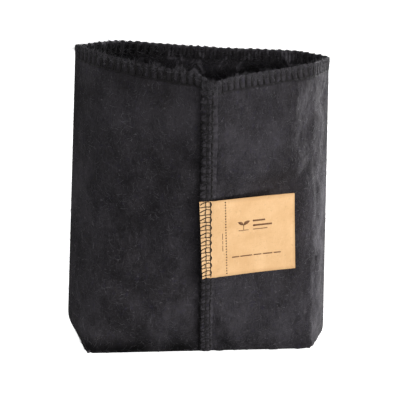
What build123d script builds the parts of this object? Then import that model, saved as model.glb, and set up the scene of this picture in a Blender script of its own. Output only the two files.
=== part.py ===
from build123d import *
import math
import os

# Felt grow bag, about 3.8 litres (1 gallon class), standing open and empty.
#
# One sheet of needle-punched felt is wrapped into a tube and overlocked along
# the front centre with the seam allowance outside, folded to the left.  The
# base is closed by a left-right seam with its allowance inside and squared
# off by a boxed-corner seam at each end.  The rim is overlocked, and a card
# tag is sewn into the front seam.
#
# Frame: origin on the floor at the centre of the base, +Z up, +X to the
# bag's right as seen from the front, -Y towards the front.  Millimetres.
#
# The felt is divided at its fold creases: front wall (two halves that meet
# in the seam), back wall, two side gussets and the base.  The walls turn on
# round beads along the base creases, the tag flap on its perforation.
#
# v is a height fraction of the tube, 0 at the base and 1 at the rim.

# ------------------------------------------------------------ driving sizes
LEFT, RIGHT = -1, 1    # sign of x on each side of the bag

FELT = 2.0             # felt thickness
FIN_T = 1.5            # felt thickness where a seam presses it
FIN_W = 8.5            # width of the seam allowance
FIN_GAP = 1.3          # space behind the folded allowance, holds the looper
LAYER_GAP = 0.05       # between pressed layers that lie on each other
THREAD = 0.8           # sewing thread
STITCH = 5.3           # overlock stitch length
LIFT = 0.5             # thread stands this far off the felt
STAND = LIFT + THREAD / 2              # felt to thread centre

BASE_HALF_W = 80.7     # half width of the base
BASE_HALF_D = 27.5     # half depth of the base
SPLIT = 0.3            # half of the gap at a crease between two panels
BEAD_GAP = 0.2         # base edge to wall bead
CREASE_INSET_BASE = FELT + 0.25        # corner line to panel cut, at the base
CREASE_INSET_RIM = 0.8                 # the same at the rim

# key lines of the tube: points (x, y, z) from the base to the rim
FOLD = {
    LEFT: ((-BASE_HALF_W, 0.0, 0.0), (-90.8, -1.0, 18.5), (-88.2, -3.0, 214.0)),
    RIGHT: ((BASE_HALF_W, 0.0, 0.0), (94.2, -1.0, 12.0), (89.5, -2.0, 205.5)),
}
FRONT_CORNER = {
    LEFT: ((-BASE_HALF_W, -BASE_HALF_D, 0.0), (-73.0, -33.0, 213.0)),
    RIGHT: ((BASE_HALF_W, -BASE_HALF_D, 0.0), (75.0, -28.5, 206.2)),
}
BACK_CORNER = {
    LEFT: ((-BASE_HALF_W, BASE_HALF_D, 0.0), (-56.0, 25.5, 212.3)),
    RIGHT: ((BASE_HALF_W, BASE_HALF_D, 0.0), (73.0, 18.5, 206.2)),
}
RIDGE = ((8.9, -BASE_HALF_D, 0.0), (-2.3, -79.5, 204.3))       # front seam line
BACK_MID = ((4.0, BASE_HALF_D, 0.0), (10.0, 15.0, 209.3))

# beads: the walls start at the height of the bead axis
BEAD_Y = BASE_HALF_D - FELT / 2
BEAD_Z = FELT / 2
BEAD_V = BEAD_Z / 206.0

# height fractions of the panel sections
WALL_LEVELS = (BEAD_V, 0.12, 0.3, 0.5, 0.7, 0.86, 0.95, 1.0)
GUSSET_LEVELS = {
    LEFT: (0.0, 0.05, 0.0865, 0.3, 0.5, 0.7, 0.86, 1.0),
    RIGHT: (0.0, 0.03, 0.0584, 0.3, 0.5, 0.7, 0.86, 1.0),
}
COLUMNS = 7            # strips across each half of the front wall

os.makedirs("parts", exist_ok=True)


# ------------------------------------------------------------ small vector kit
def add(a, b):
    return (a[0] + b[0], a[1] + b[1], a[2] + b[2])


def sub(a, b):
    return (a[0] - b[0], a[1] - b[1], a[2] - b[2])


def mul(a, k):
    return (a[0] * k, a[1] * k, a[2] * k)


def dot(a, b):
    return a[0] * b[0] + a[1] * b[1] + a[2] * b[2]


def cross(a, b):
    return (a[1] * b[2] - a[2] * b[1], a[2] * b[0] - a[0] * b[2], a[0] * b[1] - a[1] * b[0])


def norm(a):
    return math.sqrt(dot(a, a))


def unit(a):
    return mul(a, 1.0 / norm(a))


def lerp(a, b, t):
    return add(a, mul(sub(b, a), t))


def along(key, v):
    """Point of a key line at height fraction v."""
    if len(key) == 2:
        return lerp(key[0], key[1], v)
    v_knee = key[1][2] / key[2][2]
    if v <= v_knee:
        return lerp(key[0], key[1], v / v_knee)
    return lerp(key[1], key[2], (v - v_knee) / (1.0 - v_knee))


# ------------------------------------------------------------ faceted solids
def stack(rings, cap):
    """Closed solid from rings with equal point counts.

    cap lists the triangles, as ring indices, that close both ends."""
    n = len(rings[0])
    points = [Vector(*p) for ring in rings for p in ring]
    triangles = []
    for i in range(len(rings) - 1):
        for j in range(n):
            a = i * n + j
            b = i * n + (j + 1) % n
            c = b + n
            d = a + n
            triangles += [(a, b, c), (a, c, d)]
    return_cap, last_cap = cap
    last = (len(rings) - 1) * n
    triangles += [(c, b, a) for a, b, c in return_cap]
    triangles += [(last + a, last + b, last + c) for a, b, c in last_cap]
    faces = [Face(Wire.make_polygon([points[i] for i in t], close=True)) for t in triangles]
    solid = Solid(Shell(faces))
    if solid.volume < 0:
        solid = Solid(Shell([-f for f in faces]))
    return solid


def ears(ring):
    """Triangles that fill an outline given in plan, in its own turning sense."""
    area = sum(p[0] * q[1] - q[0] * p[1] for p, q in zip(ring, ring[1:] + ring[:1]))
    sign = 1.0 if area > 0 else -1.0

    def turn(p, q, r):
        return sign * ((q[0] - p[0]) * (r[1] - p[1]) - (q[1] - p[1]) * (r[0] - p[0]))

    left = list(range(len(ring)))
    triangles = []
    while len(left) > 3:
        best = None
        for i in range(len(left)):
            ear = (left[i - 1], left[i], left[(i + 1) % len(left)])
            p, q, r = (ring[m] for m in ear)
            if turn(p, q, r) <= 1e-9:
                continue
            if any(turn(p, q, ring[m]) > -1e-9 and turn(q, r, ring[m]) > -1e-9
                   and turn(r, p, ring[m]) > -1e-9
                   for m in left if m not in ear):
                continue
            # prefer the ear with the shortest closing edge
            span = math.hypot(p[0] - r[0], p[1] - r[1])
            if best is None or span < best[0]:
                best = (span, i, ear)
        if best is None:
            # no clean ear left: cut off the first corner
            best = (0, 0, (left[-1], left[0], left[1]))
        triangles.append(best[2])
        left.pop(best[1])
    triangles.append(tuple(left))
    return triangles


def skin(rings):
    """Solid from a stack of panel sections."""
    return stack(rings, (ears(rings[0]), ears(rings[-1])))


def carry(vec, a, b):
    """Vector turned along with the shortest turn from direction a to b."""
    axis = cross(a, b)
    turned = cross(axis, vec)
    return add(add(vec, turned), mul(cross(axis, turned), 1.0 / (1.0 + dot(a, b))))


def cord(path, facing, sides):
    """Thread along a path: a straight bar per stretch, mitred at the corners.

    facing says which way the first section faces."""
    radius = THREAD / 2.0
    dirs = [unit(sub(b, a)) for a, b in zip(path, path[1:])]
    side = unit(cross(dirs[0], facing))
    up = unit(cross(side, dirs[0]))
    rings = []
    for p, before, after in zip(path, dirs[:1] + dirs, dirs + dirs[-1:]):
        mitre = unit(add(before, after))
        ring = []
        for k in range(sides):
            a = 2 * math.pi * (k + 0.5) / sides
            o = add(mul(side, radius * math.cos(a)), mul(up, radius * math.sin(a)))
            slide = dot(o, mitre) / dot(before, mitre)
            ring.append(add(p, sub(o, mul(before, slide))))
        rings.append(ring)
        side, up = carry(side, before, after), carry(up, before, after)
    fan = [(0, k, k + 1) for k in range(1, sides - 1)]
    return stack(rings, (fan, fan))


def write(name, shape):
    shape.label = name
    export_step(shape, "parts/" + name + ".step")


# ------------------------------------------------------------ plan sections
# A panel is a strip of the tube between two key lines.  In plan its outer
# face is a straight chord; the inner face is the same chord moved in by FELT.
# Chords run counterclockwise seen from above, left to right along the front.
def plan_normal(a, b):
    """Outward unit normal in plan of chord a-b."""
    dx, dy = b[0] - a[0], b[1] - a[1]
    k = math.hypot(dx, dy)
    return (dy / k, -dx / k, 0.0)


def at_x(a, b, x):
    return lerp(a, b, (x - a[0]) / (b[0] - a[0]))


def inner_at_x(a, b, x):
    """Point at x on the inner side of chord a-b."""
    inward = mul(plan_normal(a, b), FELT)
    return at_x(sub(a, inward), sub(b, inward), x)


def inner_corner(p, n1, n2, t):
    """Inner corner of two chords that meet at p, both moved in by t."""
    s = add(n1, n2)
    return sub(p, mul(s, 2.0 * t / dot(s, s)))


def edge_x(corner, v, side, gap):
    """x of a panel edge beside a corner line, gap inside the panels' cut."""
    inset = CREASE_INSET_BASE * (1 - v) + CREASE_INSET_RIM * v
    return along(corner[side], v)[0] - side * inset - side * gap


def bead(y, x0, x1):
    """Round lower edge of a wall, the rolled crease it turns on."""
    return Pos((x0 + x1) / 2, y, BEAD_Z) * Rot(0, 90, 0) * Cylinder(FELT / 2, x1 - x0)


# ------------------------------------------------------------ front wall
# Places beside the seam: s runs along a half's outer face away from the
# ridge, n stands off that face.
FIN_ROOT = 1.6                         # s where the left allowance leaves its wall
COVER_LOW = FIN_GAP + FIN_T + LAYER_GAP        # underside of the right allowance
FIN_TOP = COVER_LOW + FIN_T                    # outside of both layers


def front_chords(v):
    """Left corner, ridge and right corner, and the normals of both halves."""
    left, ridge, right = (along(k, v) for k in (FRONT_CORNER[LEFT], RIDGE, FRONT_CORNER[RIGHT]))
    return left, ridge, right, plan_normal(left, ridge), plan_normal(ridge, right)


def on_left(v, s, n):
    left, ridge, _, normal, _ = front_chords(v)
    dx, dy = left[0] - ridge[0], left[1] - ridge[1]
    if s < 0:
        p = add(ridge, mul(unit((dx, dy, 0.0)), s))
    else:
        p = lerp(ridge, left, s / math.hypot(dx, dy))
    return add(p, mul(normal, n))


def on_right(v, s, n):
    _, ridge, right, _, normal = front_chords(v)
    k = s / math.hypot(right[0] - ridge[0], right[1] - ridge[1])
    return add(lerp(ridge, right, k), mul(normal, n))


def columns(a, b):
    """Evenly spaced points from a to b, both included."""
    return [lerp(a, b, i / COLUMNS) for i in range(COLUMNS + 1)]


def left_ring(v):
    """Section of the left half: wall with its allowance turned back over it."""
    left, ridge, *_ = front_chords(v)
    x = edge_x(FRONT_CORNER, v, LEFT, SPLIT)
    top = FIN_GAP + FIN_T
    last_column = FIN_W + 1.0
    fin = [(FIN_ROOT, 0), (FIN_ROOT, FIN_GAP), (FIN_W, FIN_GAP),
           (FIN_W, top), (0.1, top), (0.1, -FELT)]
    return (columns(at_x(left, ridge, x), on_left(v, last_column, 0))
            + [on_left(v, s, n) for s, n in fin]
            + columns(on_left(v, last_column, -FELT), inner_at_x(left, ridge, x)))


def right_ring(v):
    """Section of the right half: its allowance lies over the left one."""
    _, ridge, right, left_n, right_n = front_chords(v)
    x = edge_x(FRONT_CORNER, v, RIGHT, SPLIT)
    last_column = 8.0
    fin = [(-1.0, FIN_TOP), (FIN_W, FIN_TOP), (FIN_W, COVER_LOW),
           (0.0, COVER_LOW), (0.0, -FELT / dot(left_n, right_n))]
    return (columns(at_x(ridge, right, x), on_right(v, last_column, 0))
            + [on_right(v, 2.0, 0)]
            + [on_left(v, s, n) for s, n in fin]
            + columns(on_right(v, last_column, -FELT), inner_at_x(ridge, right, x)))


RIDGE_FOOT_X = along(RIDGE, BEAD_V)[0]

left_wall = skin([left_ring(v) for v in WALL_LEVELS])
write("front_left_wall", left_wall + bead(
    -BEAD_Y, edge_x(FRONT_CORNER, 0, LEFT, SPLIT), RIDGE_FOOT_X - 0.1))

right_wall = skin([right_ring(v) for v in WALL_LEVELS])
write("front_right_wall", right_wall + bead(
    -BEAD_Y, RIDGE_FOOT_X + 0.05, edge_x(FRONT_CORNER, 0, RIGHT, SPLIT)))


# ------------------------------------------------------------ back wall
def halved(a, b, c):
    return [a, lerp(a, b, 0.5), b, lerp(b, c, 0.5), c]


def back_outlines(v):
    """Outer and inner outline, both run right to left."""
    left, mid, right = (along(k, v) for k in (BACK_CORNER[LEFT], BACK_MID, BACK_CORNER[RIGHT]))
    x_left = edge_x(BACK_CORNER, v, LEFT, 2 * SPLIT)
    x_right = edge_x(BACK_CORNER, v, RIGHT, 2 * SPLIT)
    mid_n = unit(add(plan_normal(right, mid), plan_normal(mid, left)))
    outer = halved(at_x(right, mid, x_right), mid, at_x(mid, left, x_left))
    inner = halved(inner_at_x(right, mid, x_right), sub(mid, mul(mid_n, FELT)),
                   inner_at_x(mid, left, x_left))
    return outer, inner


def back_ring(v):
    outer, inner = back_outlines(v)
    return outer + inner[::-1]


back_wall = skin([back_ring(v) for v in WALL_LEVELS])
write("back_wall", back_wall + bead(BEAD_Y, edge_x(BACK_CORNER, 0, LEFT, 2 * SPLIT),
                                    edge_x(BACK_CORNER, 0, RIGHT, 2 * SPLIT)))


# ------------------------------------------------------------ side gussets
FLANGE_X = BASE_HALF_W - FELT - 1.6    # outer face of the upright corner allowance
FLANGE_IN_X = FLANGE_X - FIN_T
FLANGE_HALF_D = BASE_HALF_D - 4.0
FOOT_END_X = BASE_HALF_W - 0.8
FOOT_T = 1.2


def gusset_outlines(v, side):
    """Outer and inner outline, both from the front cut to the back cut."""
    keys = (RIDGE, FRONT_CORNER[side], FOLD[side], BACK_CORNER[side], BACK_MID)
    ridge, front, fold, back, mid = (along(key, v) for key in keys)
    x_front = edge_x(FRONT_CORNER, v, side, -SPLIT)
    x_back = edge_x(BACK_CORNER, v, side, -2 * SPLIT)
    chords = [(ridge, front), (front, fold), (fold, back), (back, mid)]
    if side == LEFT:
        chords = [chord[::-1] for chord in chords]
    normals = [plan_normal(*chord) for chord in chords]
    outer = [at_x(*chords[0], x_front), front, fold, back, at_x(*chords[3], x_back)]
    inner = [inner_at_x(*chords[0], x_front)]
    for p, n1, n2 in zip((front, fold, back), normals, normals[1:]):
        inner.append(inner_corner(p, n1, n2, FELT))
    inner.append(inner_at_x(*chords[3], x_back))
    # keep each inner corner on the gusset's side of its cut
    for corner, end, limit in ((1, 0, x_front), (3, 4, x_back)):
        if side * (inner[corner][0] - limit) < 0.05:
            inner[corner] = lerp(inner[end], inner[2], 0.04)
    return outer, inner


def gusset_ring(v, side):
    outer, inner = gusset_outlines(v, side)
    ring = outer + inner[::-1]
    return ring[::-1] if side == LEFT else ring


def gusset(side):
    """Side panel whose foot turns in and stands up as the corner allowance."""
    panel = skin([gusset_ring(v, side) for v in GUSSET_LEVELS[side]])
    foot_w = FOOT_END_X - FLANGE_IN_X
    foot = Pos(side * (FLANGE_IN_X + foot_w / 2), 0, FOOT_T / 2) * \
        Box(foot_w, 2 * FLANGE_HALF_D, FOOT_T)
    flange = Pos(side * (FLANGE_X - FIN_T / 2), 0, FIN_W / 2) * \
        Box(FIN_T, 2 * FLANGE_HALF_D, FIN_W)
    return panel + foot + flange


write("left_gusset", gusset(LEFT))
write("right_gusset", gusset(RIGHT))

# ------------------------------------------------------------ base
BASE_END = FLANGE_IN_X - 0.3           # outer face of the base flange
SEAM_HALF = BASE_END - FIN_T - 3.0     # half length of the closing seam


def base_panel():
    base = Pos(0, 0, FELT / 2) * Box(2 * BASE_END, 2 * (BASE_HALF_D - FELT - BEAD_GAP), FELT)
    for side in (LEFT, RIGHT):
        base += Pos(side * (BASE_END - FIN_T / 2), 0, FIN_W / 2) * \
            Box(FIN_T, 2 * FLANGE_HALF_D, FIN_W)
    # the closing seam: two allowances standing up side by side, inside the bag
    sunk = 0.5
    base += Pos(0, 0, FELT + FIN_W / 2 - sunk) * \
        Box(2 * SEAM_HALF, 2 * FIN_T, FIN_W + 2 * sunk)
    return base


write("base_panel", base_panel())

# ------------------------------------------------------------ front seam threads
SEAM_LEN = 204.0
SEAM_START = 5.0
SEAM_END = SEAM_LEN - FIN_W - 3.0      # below the rim's own stitching
NEEDLE_STEPS = 12
SEAM_THREAD_N = FIN_TOP + STAND


def seam_normal(q):
    """Normal of the left half at length q up the seam."""
    return front_chords(q / SEAM_LEN)[3]


def seam_needle(s):
    steps = [SEAM_START + (SEAM_END - SEAM_START) * i / NEEDLE_STEPS
             for i in range(NEEDLE_STEPS + 1)]
    path = [on_left(q / SEAM_LEN, s, SEAM_THREAD_N) for q in steps]
    return cord(path, seam_normal(SEAM_START), sides=6)


def seam_looper(n_face, n_edge, s_in, phase):
    """Looper that runs at s_in on the fin and steps over its raw edge."""
    beside, past = FIN_W + 0.55, FIN_W + 0.6
    # fraction of the stitch, s, n
    stitch = ((0.10, s_in, n_face), (0.42, s_in, n_face), (0.52, beside, n_face),
              (0.58, past, n_edge), (0.94, past, n_edge), (1.0, beside, n_face))
    start = SEAM_START + phase * STITCH
    path = []
    q = start
    while q + STITCH <= SEAM_END:
        path += [on_left((q + frac * STITCH) / SEAM_LEN, s, n) for frac, s, n in stitch]
        q += STITCH
    return cord(path, seam_normal(start), sides=3)


write("front_seam_inner_needle_thread", seam_needle(0.9))
write("front_seam_outer_needle_thread", seam_needle(4.2))
write("front_seam_upper_looper_thread",
      seam_looper(n_face=SEAM_THREAD_N + THREAD + 0.1, n_edge=FIN_TOP - 0.6,
                  s_in=1.9, phase=0.0))
write("front_seam_lower_looper_thread",
      seam_looper(n_face=FIN_GAP / 2, n_edge=1.5, s_in=2.6, phase=0.5))

# ------------------------------------------------------------ shared stitching
THREAD_KINDS = ("needle", "upper_looper", "lower_looper")


def write_threads(prefix, threads):
    for kind, thread in zip(THREAD_KINDS, threads):
        write(f"{prefix}_{kind}_thread", thread)


def needle_cord(path):
    return cord(path, (0, 0, 1), sides=6)


def looper_cord(path):
    return cord(path, (0.02, 0.03, 1), sides=4)


def looper_stations(length, end):
    """Places (q, level) of a looper that runs low (0), then over the edge (1)."""
    usable = length - 2 * end
    n = int(usable / STITCH)
    pitch = usable / n
    for k in range(n):
        last = 1.0 if k < n - 1 else 0.9
        for frac, level in ((0.08, 0), (0.42, 0), (0.50, 1), (last, 1)):
            yield end + k * pitch + frac * pitch, level


# ------------------------------------------------------------ rim threads
RIM_HEIGHT = 208.0
RIM_NEEDLE_V = 1.0 - 7.6 / RIM_HEIGHT
RIM_LOOPER_V = 1.0 - 6.6 / RIM_HEIGHT
RIM_RISE = 0.55                        # looper centre above the rim


def distances(points):
    """Distance of each point from the first, along the polyline."""
    marks = [0.0]
    for a, b in zip(points, points[1:]):
        marks.append(marks[-1] + norm(sub(b, a)))
    return marks


def walk(points, q):
    """Point at distance q along a polyline."""
    for a, b in zip(points, points[1:]):
        step = norm(sub(b, a))
        if q <= step:
            return lerp(a, b, q / step)
        q -= step
    return points[-1]


def offset_line(points, t):
    """Plan offset of an open polyline to its outer side, inner if t < 0."""
    normals = [plan_normal(a, b) for a, b in zip(points, points[1:])]
    moved = []
    for p, n1, n2 in zip(points, normals[:1] + normals, normals + normals[-1:]):
        s = add(n1, n2)
        moved.append(add(p, mul(s, t * min(2.0 / dot(s, s), 1.5))))
    return moved


def rim_threads(outlines, end):
    """Needle thread, outer looper and inner looper on one panel's rim.

    outlines(v) gives the outer and inner outline, run the same way; end
    trims the stitching at both ends."""
    line = offset_line(outlines(RIM_NEEDLE_V)[0], STAND)
    marks = distances(line)
    total = marks[-1]
    corners = [p for p, q in zip(line, marks) if end + 1.0 < q < total - end - 1.0]
    threads = [needle_cord([walk(line, end + 0.3)] + corners + [walk(line, total - end - 0.3)])]
    for face, shift in ((0, STAND), (1, -STAND)):
        low = offset_line(outlines(RIM_LOOPER_V)[face], shift)
        top = [add(p, (0, 0, RIM_RISE)) for p in offset_line(outlines(1.0)[face], shift)]
        lines = (low, top)
        scales = [distances(points)[-1] / total for points in lines]
        threads.append(looper_cord([walk(lines[level], q * scales[level])
                                    for q, level in looper_stations(total, end)]))
    return threads


def front_rim_outlines(v):
    """Front wall: the outer outline passes over the folded allowance."""
    left, ridge, right, left_n, right_n = front_chords(v)
    x_left = edge_x(FRONT_CORNER, v, LEFT, SPLIT)
    x_right = edge_x(FRONT_CORNER, v, RIGHT, SPLIT)
    outer = [at_x(left, ridge, x_left),
             on_left(v, FIN_W + 0.2, 0), on_left(v, FIN_W + 0.1, FIN_TOP),
             on_left(v, -1.2, FIN_TOP), on_right(v, 3.4, 0),
             at_x(ridge, right, x_right)]
    apex = inner_corner(ridge, left_n, right_n, FELT + 0.3)
    in_left = inner_at_x(left, ridge, x_left)
    in_right = inner_at_x(ridge, right, x_right)
    inner = [in_left, lerp(apex, in_left, 0.10), lerp(apex, in_left, 0.02),
             lerp(apex, in_right, 0.02), lerp(apex, in_right, 0.06), in_right]
    return outer, inner


def left_rim_outlines(v):
    outer, inner = gusset_outlines(v, LEFT)
    return outer[::-1], inner[::-1]


def right_rim_outlines(v):
    return gusset_outlines(v, RIGHT)


write_threads("front_rim", rim_threads(front_rim_outlines, end=1.0))
write_threads("back_rim", rim_threads(back_outlines, end=1.2))
side_threads = [rim_threads(outlines, end=1.2)
                for outlines in (left_rim_outlines, right_rim_outlines)]
write_threads("side_rim", [Compound(children=list(pair)) for pair in zip(*side_threads)])

# ------------------------------------------------------------ base seam threads
NEEDLE_Z = FELT + 1.1
LOOPER_Z = NEEDLE_Z + 1.1
UPRIGHT_LIFT = 0.15                    # thread surface off an upright allowance
UPRIGHT_END = 1.5                      # seam end to stitching
CORNER_MID = (FLANGE_X + BASE_END - FIN_T) / 2.0       # middle of the two layers
CORNER_HALF = (FLANGE_X - BASE_END + FIN_T) / 2.0
CORNER_LEN = 2 * (BASE_HALF_D - 4.5)


def straddle(prefix, place, length, half_t, top):
    """Stitching over an upright allowance of half thickness half_t.

    place(q, w, z) maps along, across and height to the bag."""
    w = half_t + UPRIGHT_LIFT + THREAD / 2
    threads = [needle_cord([place(q, w, NEEDLE_Z)
                            for q in (UPRIGHT_END, length / 2, length - UPRIGHT_END)])]
    heights = (LOOPER_Z, top + 0.5)
    for across in (w, -w):
        threads.append(looper_cord([place(q, across, heights[level])
                                    for q, level in looper_stations(length, UPRIGHT_END)]))
    write_threads(prefix, threads)


straddle("base_seam", lambda q, w, z: (-SEAM_HALF + q, -w, z),
         length=2 * SEAM_HALF, half_t=FIN_T, top=FELT + FIN_W)
for side, name in ((LEFT, "left_corner_seam"), (RIGHT, "right_corner_seam")):
    straddle(name, lambda q, w, z: (side * (CORNER_MID - w), -CORNER_LEN / 2 + q, z),
             length=CORNER_LEN, half_t=CORNER_HALF, top=FIN_W)

# ------------------------------------------------------------ card tag
TAG_REACH = 57.5       # from the bend over the seam to the free edge
TAG_H = 58.4
TAG_T = 0.4
TAG_STUB = 8.4         # bend to perforation
TAG_LOW = 58.8         # height of the tag's lower edge on the seam
TAG_LIFT = 9.0         # the free edge stands a little off the felt
TAG_LEAN = -0.025      # turn of the card against the seam, radians
TAG_S = -1.2           # the card bends beside the seam root
TAG_N = FIN_TOP + 0.05
TAG_LEFT = FIN_W - 0.3 - TAG_S         # bend to the stub's left edge
PERF_GAP = 0.1         # stub to the flap's roll
STUB_STEPS = 5


def tag_v(h):
    return (TAG_LOW + h) / SEAM_LEN


# the flap's plane: over the right half, its free edge off the felt
BEND_LOW = on_left(tag_v(0), TAG_S, TAG_N)
BEND_HIGH = on_left(tag_v(TAG_H), TAG_S, TAG_N)
TAG_UP = unit(sub(BEND_HIGH, BEND_LOW))
toward_edge = unit(sub(on_right(tag_v(0), 62.0, TAG_LIFT), BEND_LOW))
TAG_ACROSS = unit(sub(toward_edge, mul(TAG_UP, dot(TAG_UP, toward_edge))))
TAG_NORMAL = unit(cross(TAG_ACROSS, TAG_UP))
LEAN_COS, LEAN_SIN = math.cos(TAG_LEAN), math.sin(TAG_LEAN)


def tag_point(u, h, n):
    """Point right of the bend, in the card's own square, which leans."""
    across = u * LEAN_COS + h * LEAN_SIN
    up = h * LEAN_COS - u * LEAN_SIN
    p = add(add(BEND_LOW, mul(TAG_UP, up)), mul(TAG_ACROSS, across))
    return add(p, mul(TAG_NORMAL, n))


def stub_ring(h):
    """Section of the stub at card height h, from its left edge to the perforation."""
    left_n = front_chords(tag_v(h))[3]
    mid_n = unit(add(left_n, TAG_NORMAL))
    face, back = [], []
    for a in (-TAG_LEFT, -TAG_LEFT / 2):
        v = tag_v((h - a * LEAN_SIN) / LEAN_COS)
        back.append(on_left(v, TAG_S - a, TAG_N))
        face.append(on_left(v, TAG_S - a, TAG_N + TAG_T))
    bend = add(BEND_LOW, mul(TAG_UP, h / LEAN_COS))
    back.append(bend)
    face.append(add(bend, mul(mid_n, TAG_T / dot(mid_n, left_n))))
    u_right = TAG_STUB - TAG_T / 2 - PERF_GAP
    back.append(tag_point(u_right, h, 0.0))
    face.append(tag_point(u_right, h, TAG_T))
    return face + back[::-1]


def tag_flap():
    """Flat card with a round roll along the perforation that it turns on."""
    section = ((TAG_STUB, 0), (TAG_REACH, 0), (TAG_REACH, TAG_T), (TAG_STUB, TAG_T))
    card = skin([[tag_point(u, h, n) for u, n in section] for h in (0.0, TAG_H)])
    low = tag_point(TAG_STUB, 0.0, TAG_T)
    high = tag_point(TAG_STUB, TAG_H, TAG_T)
    hinge = Plane(origin=Vector(*lerp(low, high, 0.5)), z_dir=Vector(*unit(sub(high, low))))
    return card + hinge * Cylinder(TAG_T / 2, TAG_H)


write("tag_stub", skin([stub_ring(TAG_H * i / STUB_STEPS) for i in range(STUB_STEPS + 1)]))
write("tag_flap", tag_flap())
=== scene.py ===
# Fabric grow bag: a felt tube with a folded seam down its front, overlocked along the seam and
# the rim, and a kraft card tag sewn into the front seam.
# It stands on z = 0 with its front towards -y and its left side towards -x.
# Lengths are millimetres until a mesh, light or camera is made, in metres.
import math

import bmesh
import bpy
import numpy as np
from mathutils import Matrix, Vector


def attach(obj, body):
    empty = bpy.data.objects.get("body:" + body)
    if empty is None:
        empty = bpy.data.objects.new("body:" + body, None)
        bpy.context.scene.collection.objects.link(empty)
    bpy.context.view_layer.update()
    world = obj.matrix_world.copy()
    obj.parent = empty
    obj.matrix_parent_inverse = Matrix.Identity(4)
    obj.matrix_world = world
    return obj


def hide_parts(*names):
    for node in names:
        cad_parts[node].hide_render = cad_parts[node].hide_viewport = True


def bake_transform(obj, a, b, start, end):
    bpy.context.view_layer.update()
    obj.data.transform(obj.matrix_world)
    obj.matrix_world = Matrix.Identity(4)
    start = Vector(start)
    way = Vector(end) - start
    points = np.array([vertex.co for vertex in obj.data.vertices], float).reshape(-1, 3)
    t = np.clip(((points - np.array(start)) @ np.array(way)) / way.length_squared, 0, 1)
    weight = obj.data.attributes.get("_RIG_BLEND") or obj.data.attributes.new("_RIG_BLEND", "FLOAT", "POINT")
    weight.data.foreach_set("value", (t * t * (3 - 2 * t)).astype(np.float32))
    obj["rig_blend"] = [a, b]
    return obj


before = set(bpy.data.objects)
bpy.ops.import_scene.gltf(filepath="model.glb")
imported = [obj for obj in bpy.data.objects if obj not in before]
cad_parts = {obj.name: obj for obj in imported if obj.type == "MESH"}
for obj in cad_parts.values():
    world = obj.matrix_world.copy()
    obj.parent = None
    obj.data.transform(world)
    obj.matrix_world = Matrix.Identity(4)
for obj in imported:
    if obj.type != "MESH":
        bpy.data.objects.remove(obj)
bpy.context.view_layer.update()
MM = 0.001
BASE, FRONT, BACK, TAG = "base", "front_wall", "back_wall", "tag_flap"


# =====================================================================
# Driving dimensions
# =====================================================================
HEIGHT = 214.0                 # highest point of the rim, at the left fold
HALF_WIDTH, HALF_DEPTH = 80.7, 27.5      # of the base
FELT = 2.0                     # felt thickness
FIN_WIDTH = 8.5                # seam allowance
STITCH = 5.3                   # overlock pitch
SEAM_LEN = 204.0               # front seam, base to rim

# Key lines, bottom to top (x, y, z): the walls are ruled between them
LEFT_FOLD = np.array([(-HALF_WIDTH, 0.0, 0.0), (-90.8, -1.0, 18.5), (-88.2, -3.0, HEIGHT)])
RIGHT_FOLD = np.array([(91.0, -0.5, 0.0), (94.4, -1.0, 3.2), (89.5, -2.0, 205.5)])
FRONT_LEFT = np.array([(-HALF_WIDTH, -HALF_DEPTH, 0.0), (-73.0, -33.0, 213.0)])
FRONT_RIGHT = np.array([(HALF_WIDTH, -HALF_DEPTH, 0.0), (75.0, -28.5, 206.2)])
RIDGE = np.array([(8.9, -HALF_DEPTH, 0.0), (-2.3, -79.5, 204.3)])
BACK_LEFT = np.array([(-HALF_WIDTH, HALF_DEPTH, 0.0), (-56.0, 25.5, 212.3)])
BACK_MID = np.array([(4.0, HALF_DEPTH, 0.0), (10.0, 15.0, 209.3)])
BACK_RIGHT = np.array([(HALF_WIDTH, HALF_DEPTH, 0.0), (73.0, 18.5, 206.2)])

# Grid of each half: rows by height, columns evenly spaced
COLUMN_STEP = 0.78
ROW_Z = np.concatenate([[0, 0.35, 0.8, 1.3, 1.9, 2.6, 3.4, 4.3], np.arange(5.3, 201.0, 1.16),
                        np.arange(201.6, 214.01, 0.69)])
ROWS = np.append(ROW_Z[ROW_Z < 213.7], HEIGHT) / HEIGHT      # shares of the height
ROW_COUNT = len(ROWS)
BOTTOM_ROLL = 1.7              # radius where the walls roll into the base
RIM_BAND = (7.4, 8.8)          # depth at which the overlocked band fades out


# =====================================================================
# Number helpers
# =====================================================================
def unit(a):
    return a / np.maximum(np.linalg.norm(a, axis=-1, keepdims=True), 1e-12)


def ease(x, start, end):
    """Smooth step from 0 at start to 1 at end."""
    t = np.clip((np.asarray(x, float) - start) / (end - start), 0, 1)
    return t * t * (3 - 2 * t)


def bell(x, width):
    return np.exp(-(x / width) ** 2)


def from_stitch(phase, pitch):
    """Signed distance to the nearest stitch."""
    return (phase - np.round(phase)) * pitch


def blur(a, sigma, axis):
    """Gaussian along one axis; the end values stay where they are."""
    reach = max(1, int(math.ceil(3 * sigma)))
    kernel = np.exp(-0.5 * (np.arange(-reach, reach + 1) / sigma) ** 2)
    kernel /= kernel.sum()
    pad = [(0, 0)] * a.ndim
    pad[axis] = (reach, reach)
    padded = np.pad(a, pad, mode="reflect", reflect_type="odd")
    out = np.zeros_like(a)
    for i, weight in enumerate(kernel):
        part = [slice(None)] * a.ndim
        part[axis] = slice(i, i + a.shape[axis])
        out += weight * padded[tuple(part)]
    return out


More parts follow.
